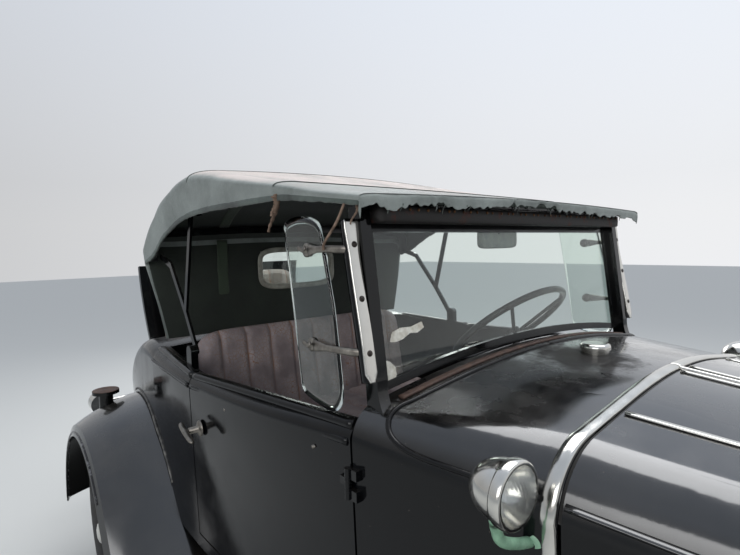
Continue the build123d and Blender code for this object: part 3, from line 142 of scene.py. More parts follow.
floor_half = 30.0
floor_data = bpy.data.meshes.new("studio_floor")
floor_data.from_pydata([(-floor_half, -floor_half, 0), (floor_half, -floor_half, 0),
                        (floor_half, floor_half, 0), (-floor_half, floor_half, 0)], [], [(0, 1, 2, 3)])
studio_floor = add_object("studio_floor", floor_data)
studio_floor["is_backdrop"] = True
floor_material, add, shader = new_material("pale floor paint")
feed(shader, Base_Color="c4c4c0", Roughness=0.8)
floor_data.materials.append(floor_material)

world = bpy.data.worlds.new("studio")
bpy.context.scene.world = world
world.use_nodes = True
add = partial(add_node, world.node_tree)
heading = add("SeparateXYZ", add("TexCoord", out="Generated")).node.outputs
brighter = add("MapRange", heading["Y"], -0.5, 0.95, 0.50, 0.92)
higher = add("MapRange", heading["Z"], 0.12, 0.65, 0.0, 0.22)
zenith = add("MapRange", heading["Z"], 0.05, 0.7)
feed(world.node_tree.nodes["Background"], Strength=add("Math", brighter, higher, operation="ADD"),
     Color=blend(add, zenith, "f7f8fa", "dde6f4"))
panels = (
    # name, place, aim, width, height, watts
    ("overhead", (0.0, 1.2, 5.0), (0, 0, 0.8), 5.0, 3.0, 170),
    ("side", (2.5, -4.5, 2.6), (-0.2, 0, 0.9), 3.5, 2.0, 70),
    ("rear", (-4.5, 3.0, 3.0), (0, 0, 0.9), 3.0, 2.0, 80),
)
for name, place, aim, width, height, watts in panels:
    light = bpy.data.lights.new(name, "AREA")
    light.shape, light.size, light.size_y, light.energy = "RECTANGLE", width, height, watts
    back = (array(place) - array(aim)) / np.linalg.norm(array(place) - array(aim))
    side = np.cross((0, 0, 1), back)
    side /= np.linalg.norm(side)
    stand(add_object(name, light), side, np.cross(back, side), back, place)


# Frame, axles, springs and wheels: pressed and forged steel brushed with black
# chassis paint, dulled by brown road dirt in patches.
def dress(names, material):
    """Puts one material on every slot of these carried-over pieces."""
    for name in names:
        data = nodes[name].data
        data.materials.clear()
        data.materials.append(material)


def brushed_chassis_paint():
    """Black brushed paint: low gloss, brown dirt in patches, gritty to the touch."""
    made, add, shader = new_material("brushed chassis enamel on steel")
    place = add("TexCoord", out="Object")
    patches = add("TexNoise", place, Scale=9.0, Detail=6.0)
    share = add("MapRange", patches, 0.48, 0.75)
    grit = add("TexNoise", place, Scale=260.0, Detail=3.0)
    feed(shader, Base_Color=blend(add, share, "16171a", "4a4034"),
         Roughness=0.55, Normal=add("Bump", Height=grit, Strength=0.25, Distance=0.001))
    return made


chassis_paint = brushed_chassis_paint()
dress(("frame", "front_axle", "rear_axle", "springs", "knuckle_left", "knuckle_right", "tie_rod",
       "drag_link", "pitman_arm", "spare_carrier", "steering_column", "wheel_front_left",
       "wheel_front_right", "wheel_rear_left", "wheel_rear_right", "spare_wheel"), chassis_paint)


# Body panels and fenders: steel sheet in black enamel, ninety years old. Sides have
# dulled, upper faces keep a wax shine under thin dust, and there are small chips.
def aged_black_enamel(name, depth, dust, dust_share, polish, smudge=None):
    """Old enamel: dust and wax polish by slope, scuffs in the gloss, chips, and one greasy smudge."""
    made, add, shader = new_material(name)
    place = add("TexCoord", out="Object")
    facing = add("SeparateXYZ", add("NewGeometry", out="Normal"), out="Z")
    upward = add("MapRange", facing, 0.15, 1.0)
    cloud = add("TexNoise", place, Scale=5.5, Detail=7.0, Roughness=0.62)
    drift = add("MapRange", cloud, 0.38, 0.72)
    lying = add("Math", upward, drift, operation="MULTIPLY")
    film = add("Math", lying, dust_share, operation="MULTIPLY")
    base = blend(add, film, depth, dust)
    speckle = add("TexVoronoi", place, Scale=38.0)
    chips = add("MapRange", speckle, 0.035, 0.02)
    haze = add("TexNoise", place, Scale=14.0, Detail=8.0)
    gloss = add("MapRange", haze, 0.3, 0.75, 0.06, 0.22)
    rough = add("Math", lying, 0.35, gloss, operation="MULTIPLY_ADD")
    shine = add("MapRange", facing, 0.1, 0.6, 0.0, polish)
    if smudge:
        away = add("VectorMath", place, smudge, operation="DISTANCE")
        blot = add("TexNoise", place, Scale=24.0, Detail=9.0, Roughness=0.72)
        edge = add("Math", blot, 0.17, away, operation="MULTIPLY_ADD")
        grease = add("MapRange", edge, 0.215, 0.165)
        rough = add("Math", grease, 0.55, rough, operation="MULTIPLY_ADD")
        shine = add("MapRange", grease, 0.0, 1.0, shine, 0.1)
    ripple = add("TexNoise", place, Scale=3.2, Detail=2.0)
    wave = add("Bump", Height=ripple, Strength=0.12, Distance=0.02)
    grain = add("TexNoise", place, Scale=420.0, Detail=2.0)
    feed(shader, Base_Color=blend(add, chips, base, "6a625a"),
         Roughness=rough, Specular_IOR_Level=0.3, Coat_Weight=shine, Coat_IOR=1.8, Coat_Roughness=0.1,
         Normal=add("Bump", Height=grain, Normal=wave, Strength=0.05, Distance=0.0004))
    return made


body_paint = aged_black_enamel("aged black body enamel", "060709", "5c554c", 0.16, 0.0)
hood_paint = aged_black_enamel("waxed black hood enamel", "060709", "5c554c", 0.16, 1.0)
cowl_paint = aged_black_enamel("greasy black cowl enamel", "060709", "5c554c", 0.16, 0.9,
                               (0.470, -0.060, 1.200))
fender_paint = aged_black_enamel("aged black fender enamel", "060708", "5a544b", 0.26, 0.85)
dress(("body_tub", "door_left", "door_right", "rumble_lid"), body_paint)
dress(("hood_left", "hood_right"), hood_paint)
dress(("cowl",), cowl_paint)
dress(("fenders_front", "fenders_rear", "running_boards", "windshield_posts", "windshield_frame",
       "top_bows", "step_plates"), fender_paint)


# Bright trim: nickel plate over brass and steel, rubbed to a cloudy gloss and
# faintly yellow.
def rubbed_nickel():
    """Nickel plate: metallic, slightly warm, of cloudy gloss."""
    made, add, shader = new_material("rubbed nickel plate")
    cloud = add("TexNoise", add("TexCoord", out="Object"), Scale=28.0, Detail=6.0)
    feed(shader, Base_Color=blend(add, cloud, "c4c2bc", "dedcd6"),
         Metallic=1.0,
         Roughness=add("MapRange", cloud, 0.3, 0.7, 0.11, 0.24))
    return made


nickel = rubbed_nickel()
dress(("radiator_shell", "cowl_band", "bumper_front", "bumper_rear", "headlamps", "cowl_lamps",
       "tail_lamps", "fuel_cap"), nickel)


# Window, wing and lamp glass: flat plate with a faint green tint, and pressed lenses.
def clear_glass(name, colour, rough, through):
    """Soda-lime glass of one tint."""
    made, add, shader = new_material(name)
    feed(shader, Base_Color=colour, Transmission_Weight=through, Roughness=rough, IOR=1.45)
    return made


glass = clear_glass("old plate glass", "e6efea", 0.02, 1.0)
dress(("windshield_glass", "wind_wings", "rear_window"), glass)


# Rubber, wood, iron: the plain stuff of the chassis and floor, each with its own dirt.
def two_tone(name, base, other, scale, rough, grain=300.0, depth=0.0005, metal=0.0, spread=(0.4, 0.7)):
    """A surface of two tones in cloudy patches, rougher in one, with a fine grain in relief."""
    made, add, shader = new_material(name)
    place = add("TexCoord", out="Object")
    cloud = add("TexNoise", place, Scale=scale, Detail=8.0, Roughness=0.6)
    share = add("MapRange", cloud, *spread)
    fine = add("TexNoise", place, Scale=grain, Detail=4.0)
    feed(shader, Base_Color=blend(add, share, base, other), Metallic=metal,
         Roughness=add("MapRange", share, 0.0, 1.0, *rough),
         Normal=add("Bump", Height=fine, Strength=0.5, Distance=depth))
    return made


tyre_rubber = two_tone("dusty tyre rubber", "17171a", "3a3733", 16.0, (0.62, 0.9), 500.0)
hard_rubber = two_tone("black hard rubber", "0e0e10", "232225", 22.0, (0.28, 0.5), 600.0, 0.0002)
brown_rubber = two_tone("perished brown rubber", "3d2b24", "5b473c", 60.0, (0.6, 0.85), 700.0)
cast_iron = two_tone("oily green engine enamel", "2f3f33", "1d1a16", 9.0, (0.4, 0.75), 240.0, 0.001)
rusty_iron = two_tone("rusted exhaust iron", "4b2f21", "7a5138", 18.0, (0.75, 0.95), 260.0, 0.0012)
floor_wood = two_tone("worn floor boards", "4d3b2c", "2a231c", 7.0, (0.7, 0.9), 180.0, 0.001)
dull_iron = two_tone("dull bare iron", "6f6a64", "9a958c", 45.0, (0.3, 0.5), 500.0, 0.0003, 0.9)
maroon_paint = two_tone("maroon dash enamel", "3a1517", "5a2a26", 24.0, (0.35, 0.6), 400.0, 0.0002)
core_brass = two_tone("painted radiator core", "1b1a18", "4a3d2a", 80.0, (0.4, 0.7), 500.0, 0.001, 0.6)
for name, stuff in (("floor", floor_wood), ("engine_block", cast_iron), ("exhaust", rusty_iron),
                    ("radiator_core", core_brass), ("steering_wheel", hard_rubber),
                    ("dashboard", maroon_paint)):
    dress((name,), stuff)

# Tyres: blackwall cross-plies, 4.75 inches wide, with a block tread worn on the crown
# and moulded ribs on the shoulder. The tread is a radial relief on a turned form.
def xyz(*parts):
    """Coordinates of any matching shapes, stacked into points."""
    return np.stack(np.broadcast_arrays(*parts), -1)


def quads(grid, wrap=(False, False)):
    """Points and faces of a (rows, columns, 3) grid, closed on itself along either way."""
    rows, columns = grid.shape[:2]
    i = np.arange(rows if wrap[0] else rows - 1)[:, None]
    j = np.arange(columns if wrap[1] else columns - 1)[None, :]
    i2, j2 = (i + 1) % rows, (j + 1) % columns
    faces = xyz(i * columns + j, i * columns + j2, i2 * columns + j2, i2 * columns + j)
    return grid.reshape(-1, 3), faces.reshape(-1, 4)


def piece(name, parts, material, body="chassis"):
    """One object from several lists of points and quads, riding on a body."""
    points = concatenate([p for p, f in parts])
    starts = np.cumsum([0] + [len(p) for p, f in parts[:-1]])
    faces = concatenate([f + s for (p, f), s in zip(parts, starts)]).astype(np.int32)
    data = bpy.data.meshes.new(name)
    data.vertices.add(len(points))
    data.vertices.foreach_set("co", points.astype(np.float32).ravel())
    data.loops.add(faces.size)
    data.loops.foreach_set("vertex_index", faces.ravel())
    data.polygons.add(len(faces))
    data.polygons.foreach_set("loop_start", np.arange(0, faces.size, 4, dtype=np.int32))
    data.update(calc_edges=True)
    data.validate()
    form = bmesh.new()
    form.from_mesh(data)
    bmesh.ops.remove_doubles(form, verts=form.verts, dist=1e-6)
    bmesh.ops.recalc_face_normals(form, faces=form.faces)
    form.to_mesh(data)
    form.free()
    data.polygons.foreach_set("use_smooth", np.ones(len(data.polygons), bool))
    data.materials.append(material)
    made = add_object(name, data)
    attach(made, body)
    return made


front_axle_x, rear_axle_x, wheel_y, wheel_z = 1.535, -1.094, 0.711, 0.362
wheels = [(end + "_" + hand, x, side * wheel_y, side)
          for end, x in (("front", front_axle_x), ("rear", rear_axle_x))
          for hand, side in (("left", 1), ("right", -1))]


def tyre(name, body, centre, axis):
    """r(u, a) = wall radius at u, less a groove of 5 mm where the tread pattern is open."""
    half, tread_half, outer, bead, groove = 0.060, 0.037, 0.3615, 0.2335, 0.005
    flat, blocks, rib_rows = 0.34, 60, (18, 26)
    u = linspace(-1, 1, 45)
    a = linspace(0, 2 * pi, 420, endpoint=False)
    lean = np.abs(u)[:, None]
    crown = clip((lean - flat) / (1 - flat), 0, 1)
    wall = outer - (outer - bead) * (1 - cos(pi / 2 * crown)) ** 0.9
    sign = np.sign(u)[:, None]
    across = where(lean < flat, u[:, None] / flat * tread_half,
                      sign * (tread_half + (half - tread_half) * sin(pi * crown) ** 0.5))
    pitch = np.mod(a[None] * blocks / (2 * pi) + 0.5 * (sign > 0), 1)
    block = (pitch < 0.22) & (lean > 0.12) & (lean < 0.42)
    r = wall - groove * (block | np.isin(np.arange(len(u)), rib_rows)[:, None])
    first = np.cross(axis, (0.0, 0.0, 1.0))
    ring = cos(a)[:, None] * first + sin(a)[:, None] * np.cross(axis, first)
    grid = np.asarray(centre) + across[..., None] * np.asarray(axis) + r[..., None] * ring
    made = piece(name, [quads(grid, (False, True))], tyre_rubber, body)
    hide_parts(name.replace("dressed_", ""))


for place, x, y, side in wheels:
    tyre("dressed_tyre_" + place, "wheel_" + place, (x, y, wheel_z), (0.0, 1.0, 0.0))
low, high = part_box("spare_tyre")
tyre("dressed_spare_tyre", "chassis", (array(low) + array(high)) / 2, (1.0, 0.0, 0.0))


# Folding top: rubberised canvas stretched over wooden bows, tacked to the header in front
# and drawn down to the deck behind. The crown has bleached pinkish tan, the sides stay
# grey-green, and the welts over the bows have gone dark.
def top_canvas(name, lit, shade, crown):
    """Plain weave of 1.4 mm in relief; crown bleached where the cloth faces up; a lit and a shaded tone
    mixed in cloudy patches as painted light and shade.
    """
    made, add, shader = new_material(name)
    place = add("TexCoord", out="Object")
    facing = add("SeparateXYZ", add("NewGeometry", out="Normal"), out="Z")
    cloud = add("TexNoise", place, Scale=6.0, Detail=8.0, Roughness=0.65)
    # Painted light and shade: the lit and the shaded tone of the cloth mixed in cloudy patches.
    lit_and_shade_patches = add("MapRange", cloud, 0.35, 0.7)
    side = blend(add, lit_and_shade_patches, shade, lit)
    wobble = add("Math", cloud, 0.5, facing, operation="MULTIPLY_ADD")
    sunned = add("MapRange", wobble, 1.02, 1.26)
    ahead = add("Math", add("SeparateXYZ", place, out="X"), cloud, operation="ADD")
    hind = add("MapRange", ahead, 0.66, 0.38, 0.12)
    bleach = add("Math", sunned, hind, operation="MULTIPLY")
    warp, weft = (add("TexWave", place, out="Fac", bands_direction=way, Scale=225.0, Distortion=0.6)
                  for way in ("X", "Y"))
    weave = add("Bump", Height=add("Math", warp, weft, operation="ADD"), Strength=0.35, Distance=0.0005)
    feed(shader, Base_Color=blend(add, bleach, side, crown), Roughness=0.82,
         Sheen_Weight=0.25, Normal=add("Bump", Height=cloud, Normal=weave, Strength=0.3, Distance=0.012))
    return made


# Each cloth gets a lit and a shaded tone, painted light and shade, and a bleached crown tone.
outer_canvas = top_canvas("bleached top canvas", "8f9692", "656c68", "b8aca5")
lining_cloth = top_canvas("dark green top lining", "232b22", "171d17", "2a3228")
binding_cloth = top_canvas("frayed canvas binding", "56625b", "2b302c", "7d7a70")
webbing = top_canvas("green webbing", "3c4a38", "2f3a2c", "465242")
top_rows = array((
    # x, half width at the hem, of the side, side z, half width of the top, top edge z, crown z, hem z
    (330, 590, 594, 1552, 566, 1562, 1572, 1540), (200, 596, 600, 1572, 560, 1586, 1594, 1560),
    (60, 602, 606, 1596, 555, 1612, 1616, 1572), (-110, 608, 612, 1620, 550, 1642, 1646, 1573),
    (-280, 614, 620, 1648, 545, 1678, 1688, 1573), (-440, 620, 628, 1662, 535, 1706, 1722, 1566),
    (-560, 626, 634, 1640, 545, 1690, 1714, 1545), (-680, 632, 640, 1590, 560, 1652, 1676, 1500),
    (-790, 636, 643, 1520, 575, 1590, 1614, 1437), (-875, 638, 642, 1456, 602, 1500, 1522, 1415),
)) / 1000
bow_x = array((0.330, 0.040, -0.445, -0.835, -0.93))
roof_front_x, roof_rear_x = 0.330, -0.875


def roof(inset, along):
    """Hem to hem: side line, shoulder arc and crown arc at each station, dipping
    0.009 sin^2 between the bows, with slack folds of 1 to 2 mm that die out at the crown."""
    x = linspace(roof_front_x, roof_rear_x, along)
    rows = np.stack([interp(-x, -top_rows[:, 0], top_rows[:, k]) for k in range(1, 8)])
    soft = np.hanning(along // 14 + 3)
    rows = np.pad(rows, ((0, 0), (len(soft) // 2, len(soft) // 2)), mode="reflect", reflect_type="odd")
    hem, belt, belt_z, top, edge_z, crown, hem_z = (
        np.convolve(r, soft / soft.sum(), "valid")[:along] for r in rows)
    hem, belt, top = hem - inset, belt - inset, top - 0.8 * inset
    edge_z, crown = edge_z - 0.9 * inset, crown - inset
    mid_y, mid_z = top + 0.78 * (belt - top), belt_z + 0.66 * (edge_z - belt_z)
    s, t = linspace(0, 1, 9)[:-1, None], linspace(0, 1, 17)[:-1, None]
    w = linspace(1, 0, 26)[:, None]

    def shoulder(first, middle, last):
        """A parabola from first to last through the middle."""
        return (1 - t) ** 2 * first + 2 * t * (1 - t) * (2 * middle - (first + last) / 2) + t ** 2 * last

    y = concatenate([hem + s * (belt - hem), shoulder(belt, mid_y, top), w * top])
    z = concatenate([hem_z + s * (belt_z - hem_z), shoulder(belt_z, mid_z, edge_z),
                        crown - (crown - edge_z) * w ** 2])
    y, z = concatenate([y, -y[-2::-1]]), concatenate([z, z[-2::-1]])
    k = clip(np.searchsorted(-bow_x, -x, side="right") - 1, 0, 3)
    dip = 0.009 * sin(pi * (x - bow_x[k]) / (bow_x[k + 1] - bow_x[k])) ** 2
    folds = np.convolve(np.random.default_rng(4).normal(size=56), (0.25, 0.6, 0.8, 0.6, 0.25), "valid")
    drawn = clip(np.abs(y) / 0.6, 0, 1) ** 6
    pucker = 0.0011 * drawn * interp(-x, linspace(-0.33, 0.875, 52), folds)[None]
    z = z - dip[None] * clip(1.15 - drawn, 0, 1)
    y = y - np.sign(y) * clip(pucker + 0.0016, 0, 0.005)
    return xyz(x, y, z).transpose(1, 0, 2)


def curtain(inset, roof_edge, down):
    """Ruled sheet from the roof's rear edge to the deck line, less the window's opening."""
    deck_x, deck_z, deck_share = -0.866, 1.133, 0.575 / 0.640
    foot = xyz(deck_x + inset, roof_edge[:, 1] * deck_share, deck_z)
    t = linspace(0, 1, down)[:, None, None]
    belly = 0.006 * sin(pi * t) * array((1.0, 0, 0))
    points, faces = quads(roof_edge[None] * (1 - t) + foot[None] * t + belly)
    middle = points[faces].mean(1)
    opening = (np.abs(middle[:, 1]) < 0.176) & (middle[:, 2] > 1.303) & (middle[:, 2] < 1.450)
    return points, faces[~opening]


def refine(row, count):
    """The same outline with evenly spaced points."""
    run = concatenate([[0], np.cumsum(np.linalg.norm(np.diff(row, axis=0), axis=1))])
    at = linspace(0, run[-1], count)
    return np.stack([interp(at, run, row[:, k]) for k in range(3)], -1)


outer_roof = roof(0.0012, 240)
soft_top = piece("soft_top", [quads(outer_roof), curtain(0.0, refine(outer_roof[-1], 260), 70)],
                 outer_canvas)
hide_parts("top_cover")
inner_roof = roof(0.0085, 160)
top_lining = piece("top_lining", [quads(inner_roof), curtain(0.008, refine(inner_roof[-1], 220), 60)],
                   lining_cloth)


# Hem bindings down both sides, the welts over two bows, and the window's pale frame.
def signed_power(value, exponent):
    """sign(v) |v|^e, which squares off a sine or cosine."""
    return np.sign(value) * np.abs(value) ** exponent


def tube(path, wide, tall=None, up=(0, 0, 1), sides=12, square=2.0, closed=False):
    """Superellipse |a/wide|^n + |b/tall|^n = 1 carried along a path, with shut ends."""
    path = np.asarray(path, float)
    ahead = np.roll(path, -1, 0) - np.roll(path, 1, 0)
    if not closed:
        ahead[0], ahead[-1] = path[1] - path[0], path[-1] - path[-2]
    ahead /= np.linalg.norm(ahead, axis=1)[:, None]
    across = np.cross(ahead, np.broadcast_to(np.asarray(up, float), path.shape))
    across /= np.linalg.norm(across, axis=1)[:, None]
    over = np.cross(across, ahead)
    wide = np.broadcast_to(np.asarray(wide, float), len(path)).copy()
    tall = wide if tall is None else np.broadcast_to(np.asarray(tall, float), len(path)).copy()
    t = linspace(0, 2 * pi, sides, endpoint=False)
    a, b = signed_power(cos(t), 2 / square), signed_power(sin(t), 2 / square)
    grid = (path[:, None] + across[:, None] * (wide[:, None] * a)[..., None]
            + over[:, None] * (tall[:, None] * b)[..., None])
    if not closed:
        grid = concatenate([path[:1, None] + 0 * grid[:1], grid, path[-1:, None] + 0 * grid[-1:]])
    return quads(grid, (closed, True))


welts = [tube(outer_roof[k, 8:-8] + (0, 0, 0.0012), 0.0045, 0.0011, sides=8)
         for k in (int((roof_front_x - x) / (roof_front_x - roof_rear_x) * 239) for x in bow_x[1:3])]
piece("top_welts", welts, binding_cloth)
rng = np.random.default_rng(11)
hems = []
for column in (0, -1):
    edge = outer_roof[::2, column] + (0, 0, 0.004)
    hems.append(tube(edge, 0.0022, 0.008 + rng.uniform(-0.0015, 0.0015, len(edge)), sides=10))
piece("hem_binding", hems, binding_cloth)
t = linspace(0, 2 * pi, 120, endpoint=False)
frame_y = 0.184 * signed_power(cos(t), 0.42)
frame_z = 1.3765 + 0.080 * signed_power(sin(t), 0.42)
lean = -0.866 - 0.009 * (frame_z - 1.133) / 0.389
pale_frame = two_tone("pale window binding", "a8a79c", "7c7a70", 30.0, (0.5, 0.7), 400.0, 0.0003)
rims = [tube(xyz(lean + dx, frame_y, frame_z), 0.011, 0.003, up=(1, 0, 0), sides=10, closed=True)
        for dx in (-0.004, 0.012)]
piece("rear_window_rim", rims, pale_frame)

# Webbing straps inside that keep the bows apart, one each side.
straps = []
for y in (0.33, -0.33):
    column = int(np.argmin(np.abs(inner_roof[60, :, 1] - y)))
    z = linspace(1.50, 1.16, 24)
    hang = xyz(-0.862 + 0.002 * sin(z * 40), y * 1.05, z)
    straps += [tube(inner_roof[10:-4:2, column] - (0, 0, 0.003), 0.022, 0.0012, sides=10, square=5),
               tube(hang, 0.022, 0.0012, up=(1, 0, 0), sides=10, square=5)]
piece("top_webbing", straps, webbing)

# Front edge: the canvas is turned down over the dark header wood as a ragged lip and
# tacked, with a mossy pad behind it and frayed tongues and threads hanging from it.
def lathe(profile, centre, axis, steps=48, ripple=None):
    """(distance along the axis, radius) pairs turned about an axis through a centre."""
    profile, axis = np.asarray(profile, float), np.asarray(axis, float)
    axis = axis / np.linalg.norm(axis)
    first = np.cross(axis, (0.3, 0.5, 0.81))
    first /= np.linalg.norm(first)
    second = np.cross(axis, first)
    t = linspace(0, 2 * pi, steps, endpoint=False)
    ring = cos(t)[:, None] * first + sin(t)[:, None] * second
    along = profile[:, 0][:, None] + (0 if ripple is None else ripple(profile[:, 1][:, None], t[None]))
    return quads(np.asarray(centre) + along[..., None] * axis + profile[:, 1][:, None, None] * ring,
                 (False, True))


def curve(points, count):
    """A smooth line through points: Catmull-Rom cubics, sampled evenly in each run."""
    p = np.asarray(points, float)
    p = concatenate([2 * p[:1] - p[1:2], p, 2 * p[-1:] - p[-2:-1]])
    at = linspace(0, len(p) - 3 - 1e-9, count)
    k = at.astype(int)
    t = (at - k)[:, None]
    a, b, c, d = p[k], p[k + 1], p[k + 2], p[k + 3]
    return 0.5 * (2 * b + (c - a) * t + (2 * a - 5 * b + 4 * c - d) * t ** 2
                  + (3 * b - a - 3 * c + d) * t ** 3)


front = refine(outer_roof[0], 400)
rag = np.convolve(rng.normal(size=420), np.hanning(21) / 4.2, "valid")[:400]
nibble = np.convolve(rng.normal(size=404), (0.3, 0.5, 0.6, 0.5, 0.3), "valid")[:400]
rag = 0.0250 + 0.0060 * rag + 0.0022 * nibble - 0.011 * np.exp(-((front[:, 1] + 0.02) / 0.13) ** 4)
rag = clip(rag, 0.009, 0.034)[:, None]
share = linspace(0, 1, 12)[None]
lip_x = front[:, :1] - 0.007 + 0.0085 * sin(pi / 2 * np.minimum(1, share * 2.2)) - 0.003 * share ** 2
lip = xyz(lip_x, front[:, 1:2], front[:, 2:] + 0.0012 - rag * share ** 1.4)
piece("front_binding", [quads(lip), quads(lip[:, ::-1] - (0.0016, 0, 0.0004))], outer_canvas)
mossy = two_tone("mossy header pad", "2c352e", "1a1d1a", 70.0, (0.85, 0.97), 260.0, 0.0022)
inner = front[34:-34:3] + (-0.010, 0, -0.012)
lumps = np.convolve(rng.normal(size=len(inner) + 4), np.ones(5) / 5, "valid")
piece("header_pad", [tube(inner, 0.0085 + 0.001 * lumps, 0.0085 + 0.0015 * lumps)], mossy)
header_wood = two_tone("old header wood", "1b1816", "54291d", 26.0, (0.6, 0.85), 320.0, 0.001,
                       spread=(0.58, 0.74))
board = xyz(0.2725, linspace(-0.512, 0.512, 60), 1.5270)
piece("header_board", [tube(board, 0.0285, 0.0180, sides=16, square=6)], header_wood)
tack = two_tone("rusty tack heads", "3c2619", "7c5a3c", 90.0, (0.4, 0.6), 600.0, 0.0001, 0.7)
tack_y = np.arange(-0.49, 0.50, 0.028) + rng.uniform(-0.008, 0.008, 36)
piece("header_tacks", [lathe([(0, 0.0), (0.0, 0.004), (0.0012, 0.003), (0.0018, 0.0)],
                             (0.3012, y, 1.5365), (1, 0, 0), 10) for y in tack_y], tack)
tongues = []
for k in range(26):
    y = rng.uniform(-0.57, 0.57)
    length, wide = rng.uniform(0.004, 0.020), rng.uniform(0.0008, 0.004)
    z = interp(abs(y), (0, 0.566, 0.594), (1.570, 1.560, 1.550)) - 0.017
    s = linspace(0, 1, 7)
    line = xyz(0.327 - 0.004 * s + 0.003 * sin(3 * s + k), y + rng.uniform(-0.006, 0.006) * s,
                     z - length * s)
    tongues.append(tube(line, 0.0006, wide * (1 - 0.8 * s) + 0.0003, up=(0, 1, 0), sides=6))
piece("frayed_edge", tongues, binding_cloth)
torn_canvas = two_tone("torn canvas strips", "8c7666", "4e3d31", 60.0, (0.8, 0.95), 500.0, 0.0006)
strips = []
s = linspace(0, 1, 26)
for place, fall, back, wide in (((0.053, -0.602, 1.583), 0.083, 0.034, 0.008),
                                ((0.046, -0.604, 1.580), 0.046, 0.006, 0.010),
                                ((0.302, -0.578, 1.545), 0.040, 0.008, 0.004)):
    line = place + xyz(-back * s + 0.004 * sin(6 * s), 0.005 * sin(4 * s), -fall * s)
    ragged = wide * (1 - 0.6 * s) * (1 + 0.25 * sin(40 * s))
    strips.append(tube(line, 0.0009, ragged, up=(0, 1, 0), sides=6))
piece("torn_strips", strips, torn_canvas)
tie = curve([(0.288, -0.592, 1.543), (0.270, -0.596, 1.512), (0.244, -0.596, 1.488), (0.226, -0.597, 1.470),
             (0.219, -0.594, 1.458)], 40)
piece("wing_tie", [tube(tie, 0.0030, 0.0022, sides=10)], torn_canvas)


# Seats: one bench with a lean back, and the rumble pair. Coated cloth over horsehair,
# sewn into upright channels; the brown-grey coat has cracked and the seams have torn
# through to the orange-brown backing.
def cracked_leatherette(name, coat, faded, backing, pitch):
    """Coat cracked in small cells, backing showing in the cracks and along seams spaced by pitch."""
    made, add, shader = new_material(name)
    place = add("TexCoord", out="Object")
    fade = add("MapRange", add("TexNoise", place, Scale=11.0, Detail=7.0), 0.38, 0.66)
    tone = blend(add, fade, coat, faded)
    cells = add("TexVoronoi", place, feature="DISTANCE_TO_EDGE", Scale=70.0)
    crack = add("MapRange", cells, 0.06, 0.0)
    part = add("Math", add("Math", add("SeparateXYZ", place, out="Y"), pitch, operation="DIVIDE"),
               operation="FRACT")
    gap = add("Math", add("Math", part, 0.5, operation="SUBTRACT"), operation="ABSOLUTE")
    seam = add("MapRange", gap, 0.455, 0.5)
    worn, some = (add("Math", place, fade, operation="MULTIPLY") for place in (seam, crack))
    bare = add("Math", worn, some, operation="MAXIMUM")
    fine = add("Bump", Height=add("TexVoronoi", place, Scale=420.0), Strength=0.3, Distance=0.0005)
    feed(shader, Base_Color=blend(add, bare, tone, backing), Roughness=0.58,
         Normal=add("Bump", Height=cells, Normal=fine, Strength=0.35, Distance=0.001))
    return made


def settled(made):
    """Turns an object's modifiers into its mesh, and returns that mesh and its points."""
    data = bpy.data.meshes.new_from_object(made.evaluated_get(bpy.context.evaluated_depsgraph_get()))
    made.modifiers.clear()
    made.data = data
    points = np.empty(len(data.vertices) * 3)
    data.vertices.foreach_get("co", points)
    return data, points.reshape(-1, 3)


def swollen(name, centre, half, lean, pitch, body, material, node):
    """Cushion: x = a c(u)^0.30 c(v)^0.30, y = b c(u)^0.30 s(v)^0.22, z = c s(u)^0.42, filled by
    cloth pressure, capped at 12 mm, leaned about Y, with channels 11 mm deep sewn every pitch on
    the face that shows."""
    voxel, pressure, steps, cap, seam_deep, seam_wide = 0.009, 4.0, 14, 0.012, 0.011, 0.010
    u = linspace(-pi / 2, pi / 2, 40)[:, None]
    v = linspace(-pi, pi, 120, endpoint=False)[None]
    shape = xyz(signed_power(cos(u), 0.30) * signed_power(cos(v), 0.30),
                      signed_power(cos(u), 0.30) * signed_power(sin(v), 0.22),
                      signed_power(sin(u), 0.42) + 0 * v)
    half = array(half)
    made = piece(name, [quads(shape * (half - 0.006), (False, True))], material, body)
    mesher = made.modifiers.new("even", "REMESH")
    mesher.mode, mesher.voxel_size = "VOXEL", voxel
    data, start = settled(made)
    cloth = made.modifiers.new("cloth", "CLOTH")
    cloth.settings.use_pressure, cloth.settings.uniform_pressure_force = True, pressure
    cloth.settings.effector_weights.gravity = 0.0
    for step in range(1, steps + 1):
        bpy.context.scene.frame_set(step)
    data, end = settled(made)
    far = np.linalg.norm(end - start, axis=1, keepdims=True)
    end = start + (end - start) * np.minimum(1, cap / np.maximum(far, 1e-6))
    data.vertices.foreach_set("co", end.ravel())
    bpy.context.scene.frame_set(1)
    divide = made.modifiers.new("finer", "SUBSURF")
    divide.levels = divide.render_levels = 1
    data, co = settled(made)
    co = clip(co, -half, half)
    off = (np.mod(co[:, 1] / pitch + 0.5, 1) - 0.5) * pitch
    shows = clip((co[:, 2] / half[2] - 0.1) * 2.0, 0, 1)
    co[:, 2] -= shows * seam_deep * np.exp(-(off / seam_wide) ** 2)
    turn = array(((cos(lean), 0, sin(lean)), (0, 1, 0),
                     (-sin(lean), 0, cos(lean))))
    data.vertices.foreach_set("co", (co @ turn.T + array(centre)).ravel())
    data.materials.clear()
    data.materials.append(material)
    data.polygons.foreach_set("use_smooth", np.ones(len(data.polygons), bool))
    data.update()
    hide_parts(node)


